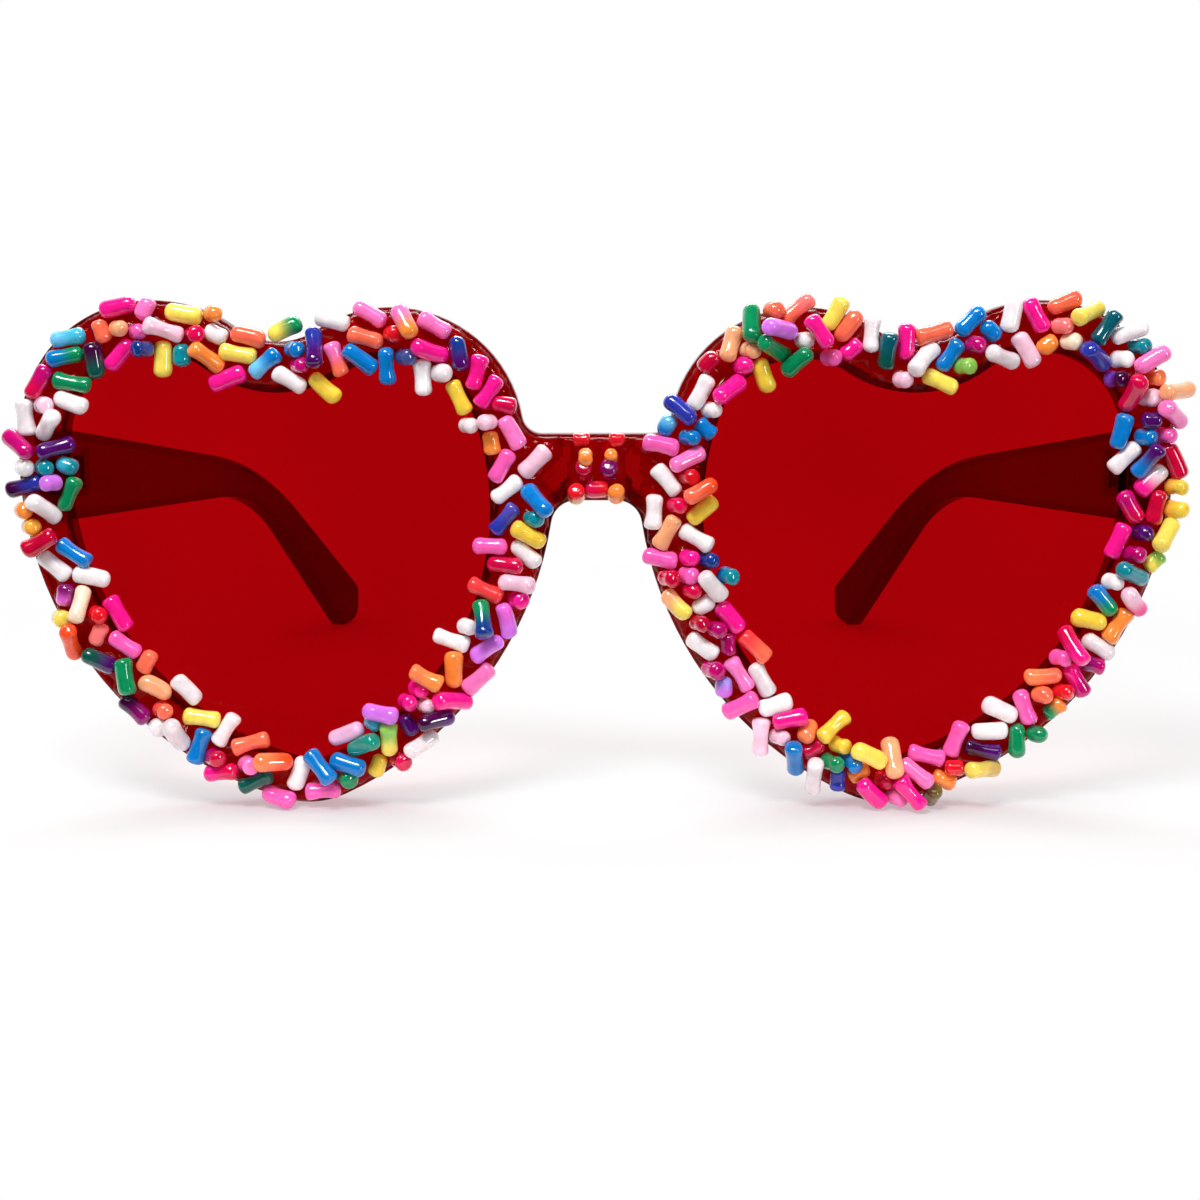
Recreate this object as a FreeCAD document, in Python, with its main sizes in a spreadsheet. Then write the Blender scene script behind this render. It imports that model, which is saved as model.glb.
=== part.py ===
"""Heart shaped sunglasses with glued sprinkle beads, in millimetres and degrees.

+Z is up and the front faces -Y. The glasses stand open on the tips of the hearts and of the temples at Z = 0.
"""
import FreeCAD
import Part
import math
import os
import Sketcher

Vector = FreeCAD.Vector

# Driving sizes. Places on the front count from the middle line and from the foot of the hearts.
SIZES = {
    # Outline of a heart: two lobes, a cleft between them, a tip and two sides
    "outer_lobe_x": 57.5,
    "outer_lobe_z": 48.5,
    "outer_lobe_radius": 17.4,
    "inner_lobe_x": 26.6,
    "inner_lobe_z": 47.8,
    "inner_lobe_radius": 17.2,
    "cleft_radius": 9.5,
    "tip_x": 37.8,
    "tip_radius": 11.3,
    "outer_side_radius": 46.8,
    "inner_side_radius": 42.0,
    # Bridge and nose arch
    "bridge_top": 48.6,
    "bridge_corner_radius": 2.6,
    "arch_top": 39.9,
    "arch_corner_radius": 3.3,
    "nose_half_width": 5.3,
    "nose_side_radius": 48.0,
    "nose_pad_width": 1.9,
    "nose_pad_height": 9.5,
    "nose_pad_depth": 2.4,
    # Rim, lens and their groove
    "front_thickness": 4.0,
    "rim_width": 5.9,
    "opening_drop": 0.7,
    "front_edge_radius": 0.8,
    "opening_edge_radius": 0.4,
    "lens_thickness": 1.6,
    "groove_depth": 1.2,
    "lens_clearance": 0.1,
    # Hinge: five barrels on one upright axis
    "hinge_inset": 5.1,
    "hinge_height": 42.8,
    "hinge_setback": 1.6,
    "barrel_radius": 1.15,
    "barrel_height": 0.84,
    "barrel_gap": 0.06,
    "screw_radius": 0.55,
    "running_clearance": 0.05,
    "screw_head_radius": 0.95,
    "screw_head_height": 0.5,
    "screw_slot_width": 0.3,
    "screw_slot_depth": 0.25,
    "leaf_thickness": 0.6,
    "leaf_reach": 3.7,
    "leaf_clearance": 0.05,
    # Temple: side profile counted from the hinge axis
    "temple_inset": 0.4,
    "temple_thickness": 3.6,
    "temple_lead": 2.4,
    "butt_gap": 0.1,
    "temple_front_rise": 6.5,
    "temple_front_drop": 6.0,
    "upper_bend_reach": 80.2,
    "upper_bend_drop": 4.4,
    "upper_bend_radius": 140.0,
    "lower_bend_reach": 78.7,
    "lower_bend_drop": 9.4,
    "lower_bend_radius": 70.0,
    "temple_reach": 143.2,
    "temple_end_drop": 35.3,
    "foot_reach": 132.8,
    "temple_end_radius": 3.4,
    "temple_toe_radius": 4.0,
    "temple_heel_radius": 8.0,
    "temple_bevel": 0.8,
    "recess_depth": 1.2,
    "recess_length": 6.8,
    "recess_half_height": 3.2,
    "recess_corner_radius": 1.2,
    # Glue beds and beads
    "glue_thickness": 0.4,
    "glue_margin": 1.0,
    "bridge_glue_half_width": 3.6,
    "bridge_glue_low": 41.2,
    "bridge_glue_high": 47.8,
    "bead_radius": 1.08,
    "bead_length": 4.7,
    "short_bead_length": 3.0,
    "bead_gap": 0.03,
    "bead_rise": 4.7,
    # Angles
    "toe_in": 7.5,
    "end_bead_lean": 60.0,
}

doc = FreeCAD.newDocument("HeartSunglasses")
sheet = doc.addObject("Spreadsheet::Sheet", "Sizes")
for row, (name, value) in enumerate(SIZES.items(), start=1):
    sheet.set(f"A{row}", name)
    sheet.set(f"B{row}", str(value))
    sheet.setAlias(f"B{row}", name)
doc.recompute()


def size(name):
    """The value of one driving size."""
    return SIZES[name]


def text(*names):
    """An expression that adds driving sizes; a name that starts with a minus sign is taken away."""
    terms = [f"-Sizes.{name[1:]}" if name.startswith("-") else f"+Sizes.{name}" for name in names]
    return "".join(terms).lstrip("+")


def worth(expression_names):
    """The value of the sum that text() writes for the same names."""
    return sum(-size(name[1:]) if name.startswith("-") else size(name) for name in expression_names)


# The front's face lies this far before the middle of the whole depth, so that the origin is below the middle
REACH_BEHIND = ("front_thickness", "hinge_setback")
FRONT_Y_TEXT = f"-({text(*REACH_BEHIND)}+Sizes.temple_reach*cos(Sizes.toe_in)-Sizes.bead_rise)/2"


# Arcs of the outlines, worked out on the right-hand heart and mirrored for the left-hand one
def crossing(first, first_radius, second, second_radius, prefer):
    """Where two circles cross; of the two places, the one with the larger prefer()."""
    across, up = second[0] - first[0], second[1] - first[1]
    apart = math.hypot(across, up)
    along = (first_radius**2 - second_radius**2 + apart**2) / (2 * apart)
    off = math.sqrt(first_radius**2 - along**2)
    middle = (first[0] + along * across / apart, first[1] + along * up / apart)
    places = [
        (middle[0] - sign * off * up / apart, middle[1] + sign * off * across / apart) for sign in (1, -1)
    ]
    return max(places, key=prefer)


def touch(large, large_radius, small):
    """Where a large circle touches a small one that lies inside it, or a neighbour outside it."""
    across, up = small[0] - large[0], small[1] - large[1]
    apart = math.hypot(across, up)
    return (large[0] + large_radius * across / apart, large[1] + large_radius * up / apart)


def arc(centre, radius, start, end, clockwise, radius_text, centre_text=(None, None)):
    """One arc of an outline, with the expressions that drive it."""
    return {
        "centre": centre,
        "radius": radius,
        "start": start,
        "end": end,
        "clockwise": clockwise,
        "radius_text": radius_text,
        "centre_text": centre_text,
    }


def line(start, end, height_text):
    """One level line of an outline."""
    return {"centre": None, "start": start, "end": end, "height_text": height_text}


def mirrored(pieces):
    """The same outline on the left-hand side, walked the other way so that it still turns clockwise."""
    result = []
    for piece in reversed(pieces):
        flipped = dict(piece)
        flipped["start"] = (-piece["end"][0], piece["end"][1])
        flipped["end"] = (-piece["start"][0], piece["start"][1])
        flipped["centre"] = (-piece["centre"][0], piece["centre"][1])
        result.append(flipped)
    return result


OUTER_LOBE = (size("outer_lobe_x"), size("outer_lobe_z"))
INNER_LOBE = (size("inner_lobe_x"), size("inner_lobe_z"))
TIP = (size("tip_x"), size("tip_radius"))
CLEFT = crossing(
    INNER_LOBE,
    worth(("inner_lobe_radius", "cleft_radius")),
    OUTER_LOBE,
    worth(("outer_lobe_radius", "cleft_radius")),
    lambda place: place[1],
)
OUTER_SIDE = crossing(
    OUTER_LOBE,
    worth(("outer_side_radius", "-outer_lobe_radius")),
    TIP,
    worth(("outer_side_radius", "-tip_radius")),
    lambda place: -place[0],
)
INNER_SIDE = crossing(
    INNER_LOBE,
    worth(("inner_side_radius", "-inner_lobe_radius")),
    TIP,
    worth(("inner_side_radius", "-tip_radius")),
    lambda place: place[0],
)


def heart_outline(inset_names, drop_names):
    """A closed heart inside the front's own outline: inset all round and lowered."""
    inset = worth(inset_names)
    drop = worth(drop_names)
    less = "".join(f"-({text(name)})" for name in inset_names)
    more = "".join(f"+({text(name)})" for name in inset_names)
    lower = "".join(f"-Sizes.{name}" for name in drop_names)

    def down(place):
        return (place[0], place[1] - drop)

    outer_lobe, inner_lobe, tip = down(OUTER_LOBE), down(INNER_LOBE), down(TIP)
    cleft, outer_side, inner_side = down(CLEFT), down(OUTER_SIDE), down(INNER_SIDE)
    cleft_radius = size("cleft_radius") + inset
    outer_side_radius = size("outer_side_radius") - inset
    inner_side_radius = size("inner_side_radius") - inset
    from_cleft = touch(cleft, cleft_radius, outer_lobe)
    to_cleft = touch(cleft, cleft_radius, inner_lobe)
    side_start = touch(outer_side, outer_side_radius, outer_lobe)
    tip_start = touch(outer_side, outer_side_radius, tip)
    tip_end = touch(inner_side, inner_side_radius, tip)
    side_end = touch(inner_side, inner_side_radius, inner_lobe)
    return [
        arc(outer_lobe, size("outer_lobe_radius") - inset, from_cleft, side_start, True,
            text("outer_lobe_radius") + less, (text("outer_lobe_x"), text("outer_lobe_z") + lower)),
        arc(outer_side, outer_side_radius, side_start, tip_start, True, text("outer_side_radius") + less),
        arc(tip, size("tip_radius") - inset, tip_start, tip_end, True,
            text("tip_radius") + less, (text("tip_x"), text("tip_radius") + lower)),
        arc(inner_side, inner_side_radius, tip_end, side_end, True, text("inner_side_radius") + less),
        arc(inner_lobe, size("inner_lobe_radius") - inset, side_end, to_cleft, True,
            text("inner_lobe_radius") + less, (text("inner_lobe_x"), text("inner_lobe_z") + lower)),
        arc(cleft, cleft_radius, to_cleft, from_cleft, False, text("cleft_radius") + more),
    ]


NOSE_X = worth(("nose_half_width", "nose_side_radius"))
NOSE_REACH = worth(("nose_side_radius", "-tip_radius"))
NOSE_SIDE = (NOSE_X, TIP[1] + math.sqrt(NOSE_REACH**2 - (NOSE_X - TIP[0]) ** 2))
ARCH_CORNER_Z = worth(("arch_top", "-arch_corner_radius"))
ARCH_REACH = worth(("nose_side_radius", "arch_corner_radius"))
ARCH_CORNER = (NOSE_X - math.sqrt(ARCH_REACH**2 - (NOSE_SIDE[1] - ARCH_CORNER_Z) ** 2), ARCH_CORNER_Z)
BRIDGE_CORNER_Z = worth(("bridge_top", "bridge_corner_radius"))
BRIDGE_REACH = worth(("inner_lobe_radius", "bridge_corner_radius"))
BRIDGE_CORNER = (
    INNER_LOBE[0] - math.sqrt(BRIDGE_REACH**2 - (BRIDGE_CORNER_Z - INNER_LOBE[1]) ** 2),
    BRIDGE_CORNER_Z,
)


def front_outline():
    """The outline of the whole front: both hearts, the top of the bridge and the nose arch."""
    bridge_end = (BRIDGE_CORNER[0], size("bridge_top"))
    arch_end = (ARCH_CORNER[0], size("arch_top"))
    lobe_start = touch(INNER_LOBE, size("inner_lobe_radius"), BRIDGE_CORNER)
    to_cleft = touch(INNER_LOBE, size("inner_lobe_radius"), CLEFT)
    from_cleft = touch(OUTER_LOBE, size("outer_lobe_radius"), CLEFT)
    side_start = touch(OUTER_SIDE, size("outer_side_radius"), OUTER_LOBE)
    tip_start = touch(OUTER_SIDE, size("outer_side_radius"), TIP)
    tip_end = touch(NOSE_SIDE, size("nose_side_radius"), TIP)
    arch_start = touch(NOSE_SIDE, size("nose_side_radius"), ARCH_CORNER)
    right = [
        arc(BRIDGE_CORNER, size("bridge_corner_radius"), bridge_end, lobe_start, False,
            text("bridge_corner_radius")),
        arc(INNER_LOBE, size("inner_lobe_radius"), lobe_start, to_cleft, True,
            text("inner_lobe_radius"), (text("inner_lobe_x"), text("inner_lobe_z"))),
        arc(CLEFT, size("cleft_radius"), to_cleft, from_cleft, False, text("cleft_radius")),
        arc(OUTER_LOBE, size("outer_lobe_radius"), from_cleft, side_start, True,
            text("outer_lobe_radius"), (text("outer_lobe_x"), text("outer_lobe_z"))),
        arc(OUTER_SIDE, size("outer_side_radius"), side_start, tip_start, True, text("outer_side_radius")),
        arc(TIP, size("tip_radius"), tip_start, tip_end, True,
            text("tip_radius"), (text("tip_x"), text("tip_radius"))),
        arc(NOSE_SIDE, size("nose_side_radius"), tip_end, arch_start, True, text("nose_side_radius"),
            (text("nose_half_width", "nose_side_radius"), None)),
        arc(ARCH_CORNER, size("arch_corner_radius"), arch_start, arch_end, False, text("arch_corner_radius")),
    ]
    bridge_line = line((-bridge_end[0], bridge_end[1]), bridge_end, text("bridge_top"))
    arch_line = line(arch_end, (-arch_end[0], arch_end[1]), text("arch_top"))
    return [bridge_line] + right + [arch_line] + mirrored(right)


# Sketch and feature helpers
def add_loop(sketch, pieces):
    """Adds a closed outline of tangent arcs and level lines, with every dimension driven by the sheet."""
    first = len(sketch.Geometry)
    shapes, starts, ends = [], [], []
    for piece in pieces:
        if piece["centre"] is None:
            shapes.append(Part.LineSegment(Vector(*piece["start"]), Vector(*piece["end"])))
            starts.append(1)
            ends.append(2)
            continue
        begin, finish = piece["start"], piece["end"]
        if piece["clockwise"]:
            begin, finish = finish, begin
        centre = piece["centre"]
        angles = [math.atan2(place[1] - centre[1], place[0] - centre[0]) for place in (begin, finish)]
        if angles[1] < angles[0]:
            angles[1] += 2 * math.pi
        circle = Part.Circle(Vector(*centre), Vector(0, 0, 1), piece["radius"])
        shapes.append(Part.ArcOfCircle(circle, *angles))
        starts.append(2 if piece["clockwise"] else 1)
        ends.append(1 if piece["clockwise"] else 2)
    sketch.addGeometry(shapes, False)
    constraints, driven = [], []
    for here in range(len(pieces)):
        after = (here + 1) % len(pieces)
        constraints.append(
            Sketcher.Constraint("Tangent", first + here, ends[here], first + after, starts[after])
        )
    for here, piece in enumerate(pieces):
        shape = first + here
        if piece["centre"] is None:
            constraints.append(Sketcher.Constraint("Horizontal", shape))
            driven.append((len(constraints), piece["height_text"]))
            constraints.append(Sketcher.Constraint("DistanceY", -1, 1, shape, 1, piece["start"][1]))
            continue
        driven.append((len(constraints), piece["radius_text"]))
        constraints.append(Sketcher.Constraint("Radius", shape, piece["radius"]))
        across_text, up_text = piece["centre_text"]
        if across_text:
            driven.append((len(constraints), across_text))
            ends_of_it = (-1, 1, shape, 3) if piece["centre"][0] > 0 else (shape, 3, -1, 1)
            constraints.append(Sketcher.Constraint("DistanceX", *ends_of_it, abs(piece["centre"][0])))
        if up_text:
            driven.append((len(constraints), up_text))
            constraints.append(Sketcher.Constraint("DistanceY", -1, 1, shape, 3, piece["centre"][1]))
    before = len(sketch.Constraints)
    sketch.addConstraint(constraints)
    for number, expression in driven:
        sketch.setExpression(f"Constraints[{before + number}]", expression)


def add_polygon(sketch, corners):
    """Adds a closed polygon; a corner is (x, y) and each of these (sign, names of the sizes to add)."""
    first = len(sketch.Geometry)
    places = [tuple(sign * worth(names) for sign, names in corner) for corner in corners]
    constraints, driven = [], []
    for here in range(len(corners)):
        after = places[(here + 1) % len(places)]
        sketch.addGeometry(Part.LineSegment(Vector(*places[here]), Vector(*after)), False)
    for here in range(len(corners)):
        after = (here + 1) % len(corners)
        constraints.append(Sketcher.Constraint("Coincident", first + here, 2, first + after, 1))
    for here, corner in enumerate(corners):
        measures = zip(("DistanceX", "DistanceY"), (-2, -1), places[here], corner)
        for kind, axis, value, (sign, names) in measures:
            if not names:
                constraints.append(Sketcher.Constraint("PointOnObject", first + here, 1, axis))
                continue
            ends_of_it = (-1, 1, first + here, 1) if value > 0 else (first + here, 1, -1, 1)
            positive = text(*names) if (value > 0) == (sign > 0) else f"-({text(*names)})"
            driven.append((len(constraints), positive))
            constraints.append(Sketcher.Constraint(kind, *ends_of_it, abs(value)))
    before = len(sketch.Constraints)
    sketch.addConstraint(constraints)
    for number, expression in driven:
        sketch.setExpression(f"Constraints[{before + number}]", expression)


def add_circle(sketch, radius_names):
    """Adds a circle round the sketch's origin."""
    circle = Part.Circle(Vector(0, 0, 0), Vector(0, 0, 1), worth(radius_names))
    shape = sketch.addGeometry(circle, False)
    sketch.addConstraint(Sketcher.Constraint("Coincident", shape, 3, -1, 1))
    number = sketch.addConstraint(Sketcher.Constraint("Radius", shape, worth(radius_names)))
    sketch.setExpression(f"Constraints[{number}]", text(*radius_names))


def new_body(name, base_text, turn_text=None):
    """A body placed by the sheet, turned about Z where turn_text is given."""
    body = doc.addObject("PartDesign::Body", name)
    body.Label = name
    body.Placement = FreeCAD.Placement(Vector(0, 0, 0), FreeCAD.Rotation(Vector(0, 0, 1), 1))
    for axis, expression in zip("xyz", base_text):
        body.setExpression(f"Placement.Base.{axis}", expression)
    body.setExpression("Placement.Rotation.Angle", turn_text or "0")
    return body


def new_sketch(body, name, plane, offset_text="0", turn_text=None):
    """A sketch on one of the body's origin planes, moved along the plane's normal and turned in it."""
    sketch = body.newObject("Sketcher::SketchObject", name)
    support = [feature for feature in body.Origin.OriginFeatures if feature.Role == plane][0]
    sketch.AttachmentSupport = [(support, "")]
    sketch.MapMode = "FlatFace"
    if turn_text:
        sketch.AttachmentOffset = FreeCAD.Placement(Vector(0, 0, 0), FreeCAD.Rotation(Vector(0, 0, 1), 1))
        sketch.setExpression("AttachmentOffset.Rotation.Angle", turn_text)
    sketch.setExpression("AttachmentOffset.Base.z", offset_text)
    return sketch


def extrude(body, kind, name, sketch, length_text, reverse=False, both_ways=False):
    """A Pad or a Pocket of one sketch."""
    feature = body.newObject(f"PartDesign::{kind}", name)
    feature.Profile = sketch
    feature.setExpression("Length", length_text)
    feature.Reversed = reverse
    feature.SideType = "Symmetric" if both_ways else "One side"
    sketch.Visibility = False
    body.Tip = feature
    doc.recompute()
    return feature


def soften(body, kind, name, wanted, size_text):
    """A Fillet or a Chamfer of the edges of the body's tip that wanted() picks."""
    base = body.Tip
    names = [f"Edge{n}" for n, edge in enumerate(base.Shape.Edges, start=1) if wanted(edge)]
    feature = body.newObject(f"PartDesign::{kind}", name)
    feature.Base = (base, names)
    feature.setExpression("Radius" if kind == "Fillet" else "Size", size_text)
    body.Tip = feature
    doc.recompute()
    return feature


def middle_of(edge):
    """The point halfway along an edge."""
    return edge.valueAt((edge.FirstParameter + edge.LastParameter) / 2)


NEAR = min(SIZES.values()) / max(SIZES.values())  # how close two places are that count as one


def level_with(edge, axis, place):
    """Whether a whole edge lies in the plane where one coordinate is `place`."""
    points = [vertex.Point[axis] for vertex in edge.Vertexes] + [middle_of(edge)[axis]]
    return all(abs(point - place) < NEAR for point in points)


def on_outline(point, pieces):
    """Whether a point in the front's plane lies on one of the arcs."""
    arcs = [piece for piece in pieces if piece["centre"]]
    misses = [
        abs(math.hypot(point.x - piece["centre"][0], point.z - piece["centre"][1]) - piece["radius"])
        for piece in arcs
    ]
    return min(misses) < NEAR


# The front moulding
OPENING = ("rim_width",)
LOWERED = ("opening_drop",)
front_base = ("0", FRONT_Y_TEXT, "0")
front = new_body("front_frame", front_base)
outline_sketch = new_sketch(front, "front_outline", "XZ_Plane")
add_loop(outline_sketch, front_outline())
opening = heart_outline(OPENING, LOWERED)
add_loop(outline_sketch, opening)
add_loop(outline_sketch, mirrored(opening))
extrude(front, "Pad", "front_plate", outline_sketch, text("front_thickness"), reverse=True)
faces_at = (0, size("front_thickness"))
openings = opening + mirrored(opening)


def is_rim_edge(edge):
    return any(level_with(edge, 1, place) for place in faces_at) and on_outline(middle_of(edge), openings)


def is_outer_edge(edge):
    return any(level_with(edge, 1, place) for place in faces_at) and not on_outline(middle_of(edge), openings)


soften(front, "Fillet", "outer_rounding", is_outer_edge, text("front_edge_radius"))
soften(front, "Fillet", "opening_rounding", is_rim_edge, text("opening_edge_radius"))

GROOVE = ("rim_width", "-groove_depth")
groove_front = "(Sizes.front_thickness-Sizes.lens_thickness)/2-Sizes.lens_clearance"
groove_sketch = new_sketch(front, "groove_outline", "XZ_Plane", f"-({groove_front})")
groove = heart_outline(GROOVE, LOWERED)
add_loop(groove_sketch, groove)
add_loop(groove_sketch, mirrored(groove))
extrude(front, "Pocket", "lens_groove", groove_sketch, "Sizes.lens_thickness+2*Sizes.lens_clearance")


def nose_pad_outline(side):
    """Corners of one nose pad: a band inside the arch corner and down the nose side of the rim."""
    width = size("nose_pad_width")
    top = (ARCH_CORNER[0], size("arch_top"))
    low_z = size("arch_top") - size("nose_pad_height")
    bend = touch(NOSE_SIDE, size("nose_side_radius"), ARCH_CORNER)
    inner_bend = touch(NOSE_SIDE, size("nose_side_radius") - width, ARCH_CORNER)

    def at_height(radius):
        return (NOSE_SIDE[0] - math.sqrt(radius**2 - (NOSE_SIDE[1] - low_z) ** 2), low_z)

    def between(centre, radius, first, second):
        middle = ((first[0] + second[0]) / 2, (first[1] + second[1]) / 2)
        return touch(centre, radius, middle)

    arch_radius, nose_radius = size("arch_corner_radius"), size("nose_side_radius")
    low, inner_low = at_height(nose_radius), at_height(nose_radius - width)
    inner_top = (top[0], top[1] + width)
    runs = [
        (top, between(ARCH_CORNER, arch_radius, top, bend), bend),
        (bend, between(NOSE_SIDE, nose_radius, bend, low), low),
        (low, None, inner_low),
        (inner_low, between(NOSE_SIDE, nose_radius - width, inner_low, inner_bend), inner_bend),
        (inner_bend, between(ARCH_CORNER, arch_radius + width, inner_bend, inner_top), inner_top),
        (inner_top, None, top),
    ]
    return [tuple(place and Vector(side * place[0], 0, place[1]) for place in run) for run in runs]


def add_loop_of_runs(sketch, runs):
    """Draws runs of arcs and lines into a sketch on the front's plane and fixes them where they are."""
    shapes = []
    for run in runs:
        start, through, end = [place and Vector(place.x, place.z, 0) for place in run]
        shapes.append(Part.Arc(start, through, end) if through else Part.LineSegment(start, end))
    first = len(sketch.Geometry)
    sketch.addGeometry(shapes, False)
    sketch.addConstraint([Sketcher.Constraint("Block", first + here) for here in range(len(shapes))])


pad_sketch = new_sketch(front, "nose_pad_outline", "XZ_Plane", "-Sizes.front_thickness/2")
for side in (1, -1):
    add_loop_of_runs(pad_sketch, nose_pad_outline(side))
extrude(front, "Pad", "nose_pads", pad_sketch, "Sizes.front_thickness/2+Sizes.nose_pad_depth", reverse=True)
pad_back = worth(("front_thickness", "nose_pad_depth"))
soften(front, "Fillet", "nose_pad_rounding", lambda edge: level_with(edge, 1, pad_back),
       text("front_edge_radius"))

# The hinge axis keeps its distance from the outer edge of the front
HINGE_X = ("outer_lobe_x", "outer_lobe_radius", "-hinge_inset")
BARRELS = 5
HINGE_HEIGHT_TEXT = f"({BARRELS}*Sizes.barrel_height+{BARRELS - 1}*Sizes.barrel_gap)"
HINGE_TALL = BARRELS * size("barrel_height") + (BARRELS - 1) * size("barrel_gap")
pocket_sketch = new_sketch(front, "hinge_pocket_outline", "XZ_Plane", "-Sizes.front_thickness")


def add_box(sketch, low_x, high_x, low_y, high_y):
    """Adds a rectangle; each side is (value, expression), and both ends of a side have one sign."""
    first = len(sketch.Geometry)
    corners = [(low_x, low_y), (high_x, low_y), (high_x, high_y), (low_x, high_y)]
    for here in range(4):
        start, end = corners[here], corners[(here + 1) % 4]
        sketch.addGeometry(
            Part.LineSegment(Vector(start[0][0], start[1][0]), Vector(end[0][0], end[1][0])), False
        )
    constraints = [
        Sketcher.Constraint("Coincident", first + here, 2, first + (here + 1) % 4, 1) for here in range(4)
    ]
    constraints += [Sketcher.Constraint("Horizontal", first + here) for here in (0, 2)]
    constraints += [Sketcher.Constraint("Vertical", first + here) for here in (1, 3)]
    driven = []
    for kind, shape, (value, expression) in (
        ("DistanceX", first + 3, low_x),
        ("DistanceX", first + 1, high_x),
        ("DistanceY", first, low_y),
        ("DistanceY", first + 2, high_y),
    ):
        positive = value > 0
        driven.append((len(constraints), expression if positive else f"-({expression})"))
        ends_of_it = (-1, 1, shape, 1) if positive else (shape, 1, -1, 1)
        constraints.append(Sketcher.Constraint(kind, *ends_of_it, abs(value)))
    before = len(sketch.Constraints)
    sketch.addConstraint(constraints)
    for number, expression in driven:
        sketch.setExpression(f"Constraints[{before + number}]", expression)


def signed(side, value, expression):
    """A measure on the right-hand side, or its mirror image."""
    return (value, expression) if side > 0 else (-value, f"-({expression})")


def box_sides(side, low, high):
    """The two ends of a stretch across the glasses in rising order, mirrored for the left-hand side."""
    ends = [signed(side, *low), signed(side, *high)]
    return ends if side > 0 else ends[::-1]


loose = size("leaf_clearance")
hinge_middle = size("hinge_height")
for side in (1, -1):
    inner_names = HINGE_X + ("-barrel_radius", "-leaf_clearance")
    outer_names = HINGE_X + ("leaf_reach", "leaf_clearance")
    inner_end = (worth(inner_names), text(*inner_names))
    outer_end = (worth(outer_names), text(*outer_names))
    add_box(
        pocket_sketch,
        *box_sides(side, inner_end, outer_end),
        (hinge_middle - HINGE_TALL / 2 - loose,
         f"Sizes.hinge_height-{HINGE_HEIGHT_TEXT}/2-Sizes.leaf_clearance"),
        (hinge_middle + HINGE_TALL / 2 + loose,
         f"Sizes.hinge_height+{HINGE_HEIGHT_TEXT}/2+Sizes.leaf_clearance"),
    )
extrude(front, "Pocket", "hinge_pockets", pocket_sketch, text("leaf_thickness"), reverse=True)

SIDES = {"left": -1, "right": 1}
lens_inset = GROOVE + ("lens_clearance",)
for name, side in SIDES.items():
    lens = new_body(f"lens_{name}", front_base)
    lens_sketch = new_sketch(
        lens, f"lens_{name}_outline", "XZ_Plane", "-(Sizes.front_thickness-Sizes.lens_thickness)/2"
    )
    lens_outline = heart_outline(lens_inset, LOWERED)
    add_loop(lens_sketch, lens_outline if side > 0 else mirrored(lens_outline))
    extrude(lens, "Pad", f"lens_{name}_sheet", lens_sketch, text("lens_thickness"), reverse=True)

# Temples, hinge leaves and screws, in a frame with the hinge axis as Z
axis_y_text = f"{FRONT_Y_TEXT}+{text(*REACH_BEHIND)}"
PLUS, MINUS = 1, -1
profile = {
    "front_top": ((MINUS, ("temple_lead",)), (PLUS, ("temple_front_rise",))),
    "upper_bend": ((PLUS, ("upper_bend_reach",)), (MINUS, ("upper_bend_drop",))),
    "temple_end": ((PLUS, ("temple_reach",)), (MINUS, ("temple_end_drop",))),
    "temple_toe": ((PLUS, ("temple_reach",)), (MINUS, ("hinge_height",))),
    "temple_heel": ((PLUS, ("foot_reach",)), (MINUS, ("hinge_height",))),
    "lower_bend": ((PLUS, ("lower_bend_reach",)), (MINUS, ("lower_bend_drop",))),
    "front_foot": ((MINUS, ("temple_lead",)), (MINUS, ("temple_front_drop",))),
}
ROUNDED = ("upper_bend", "temple_end", "temple_toe", "temple_heel", "lower_bend")


def corner_value(corner):
    """Where a corner of the temple's profile lies, along and up."""
    return tuple(sign * worth(names) for sign, names in corner)


def crosses_at(place):
    """Picks the edge that runs straight across the temple at one corner of its profile."""
    def wanted(edge):
        return all(
            abs(vertex.Point.y - place[0]) < NEAR and abs(vertex.Point.z - place[1]) < NEAR
            for vertex in edge.Vertexes
        )
    return wanted


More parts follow.
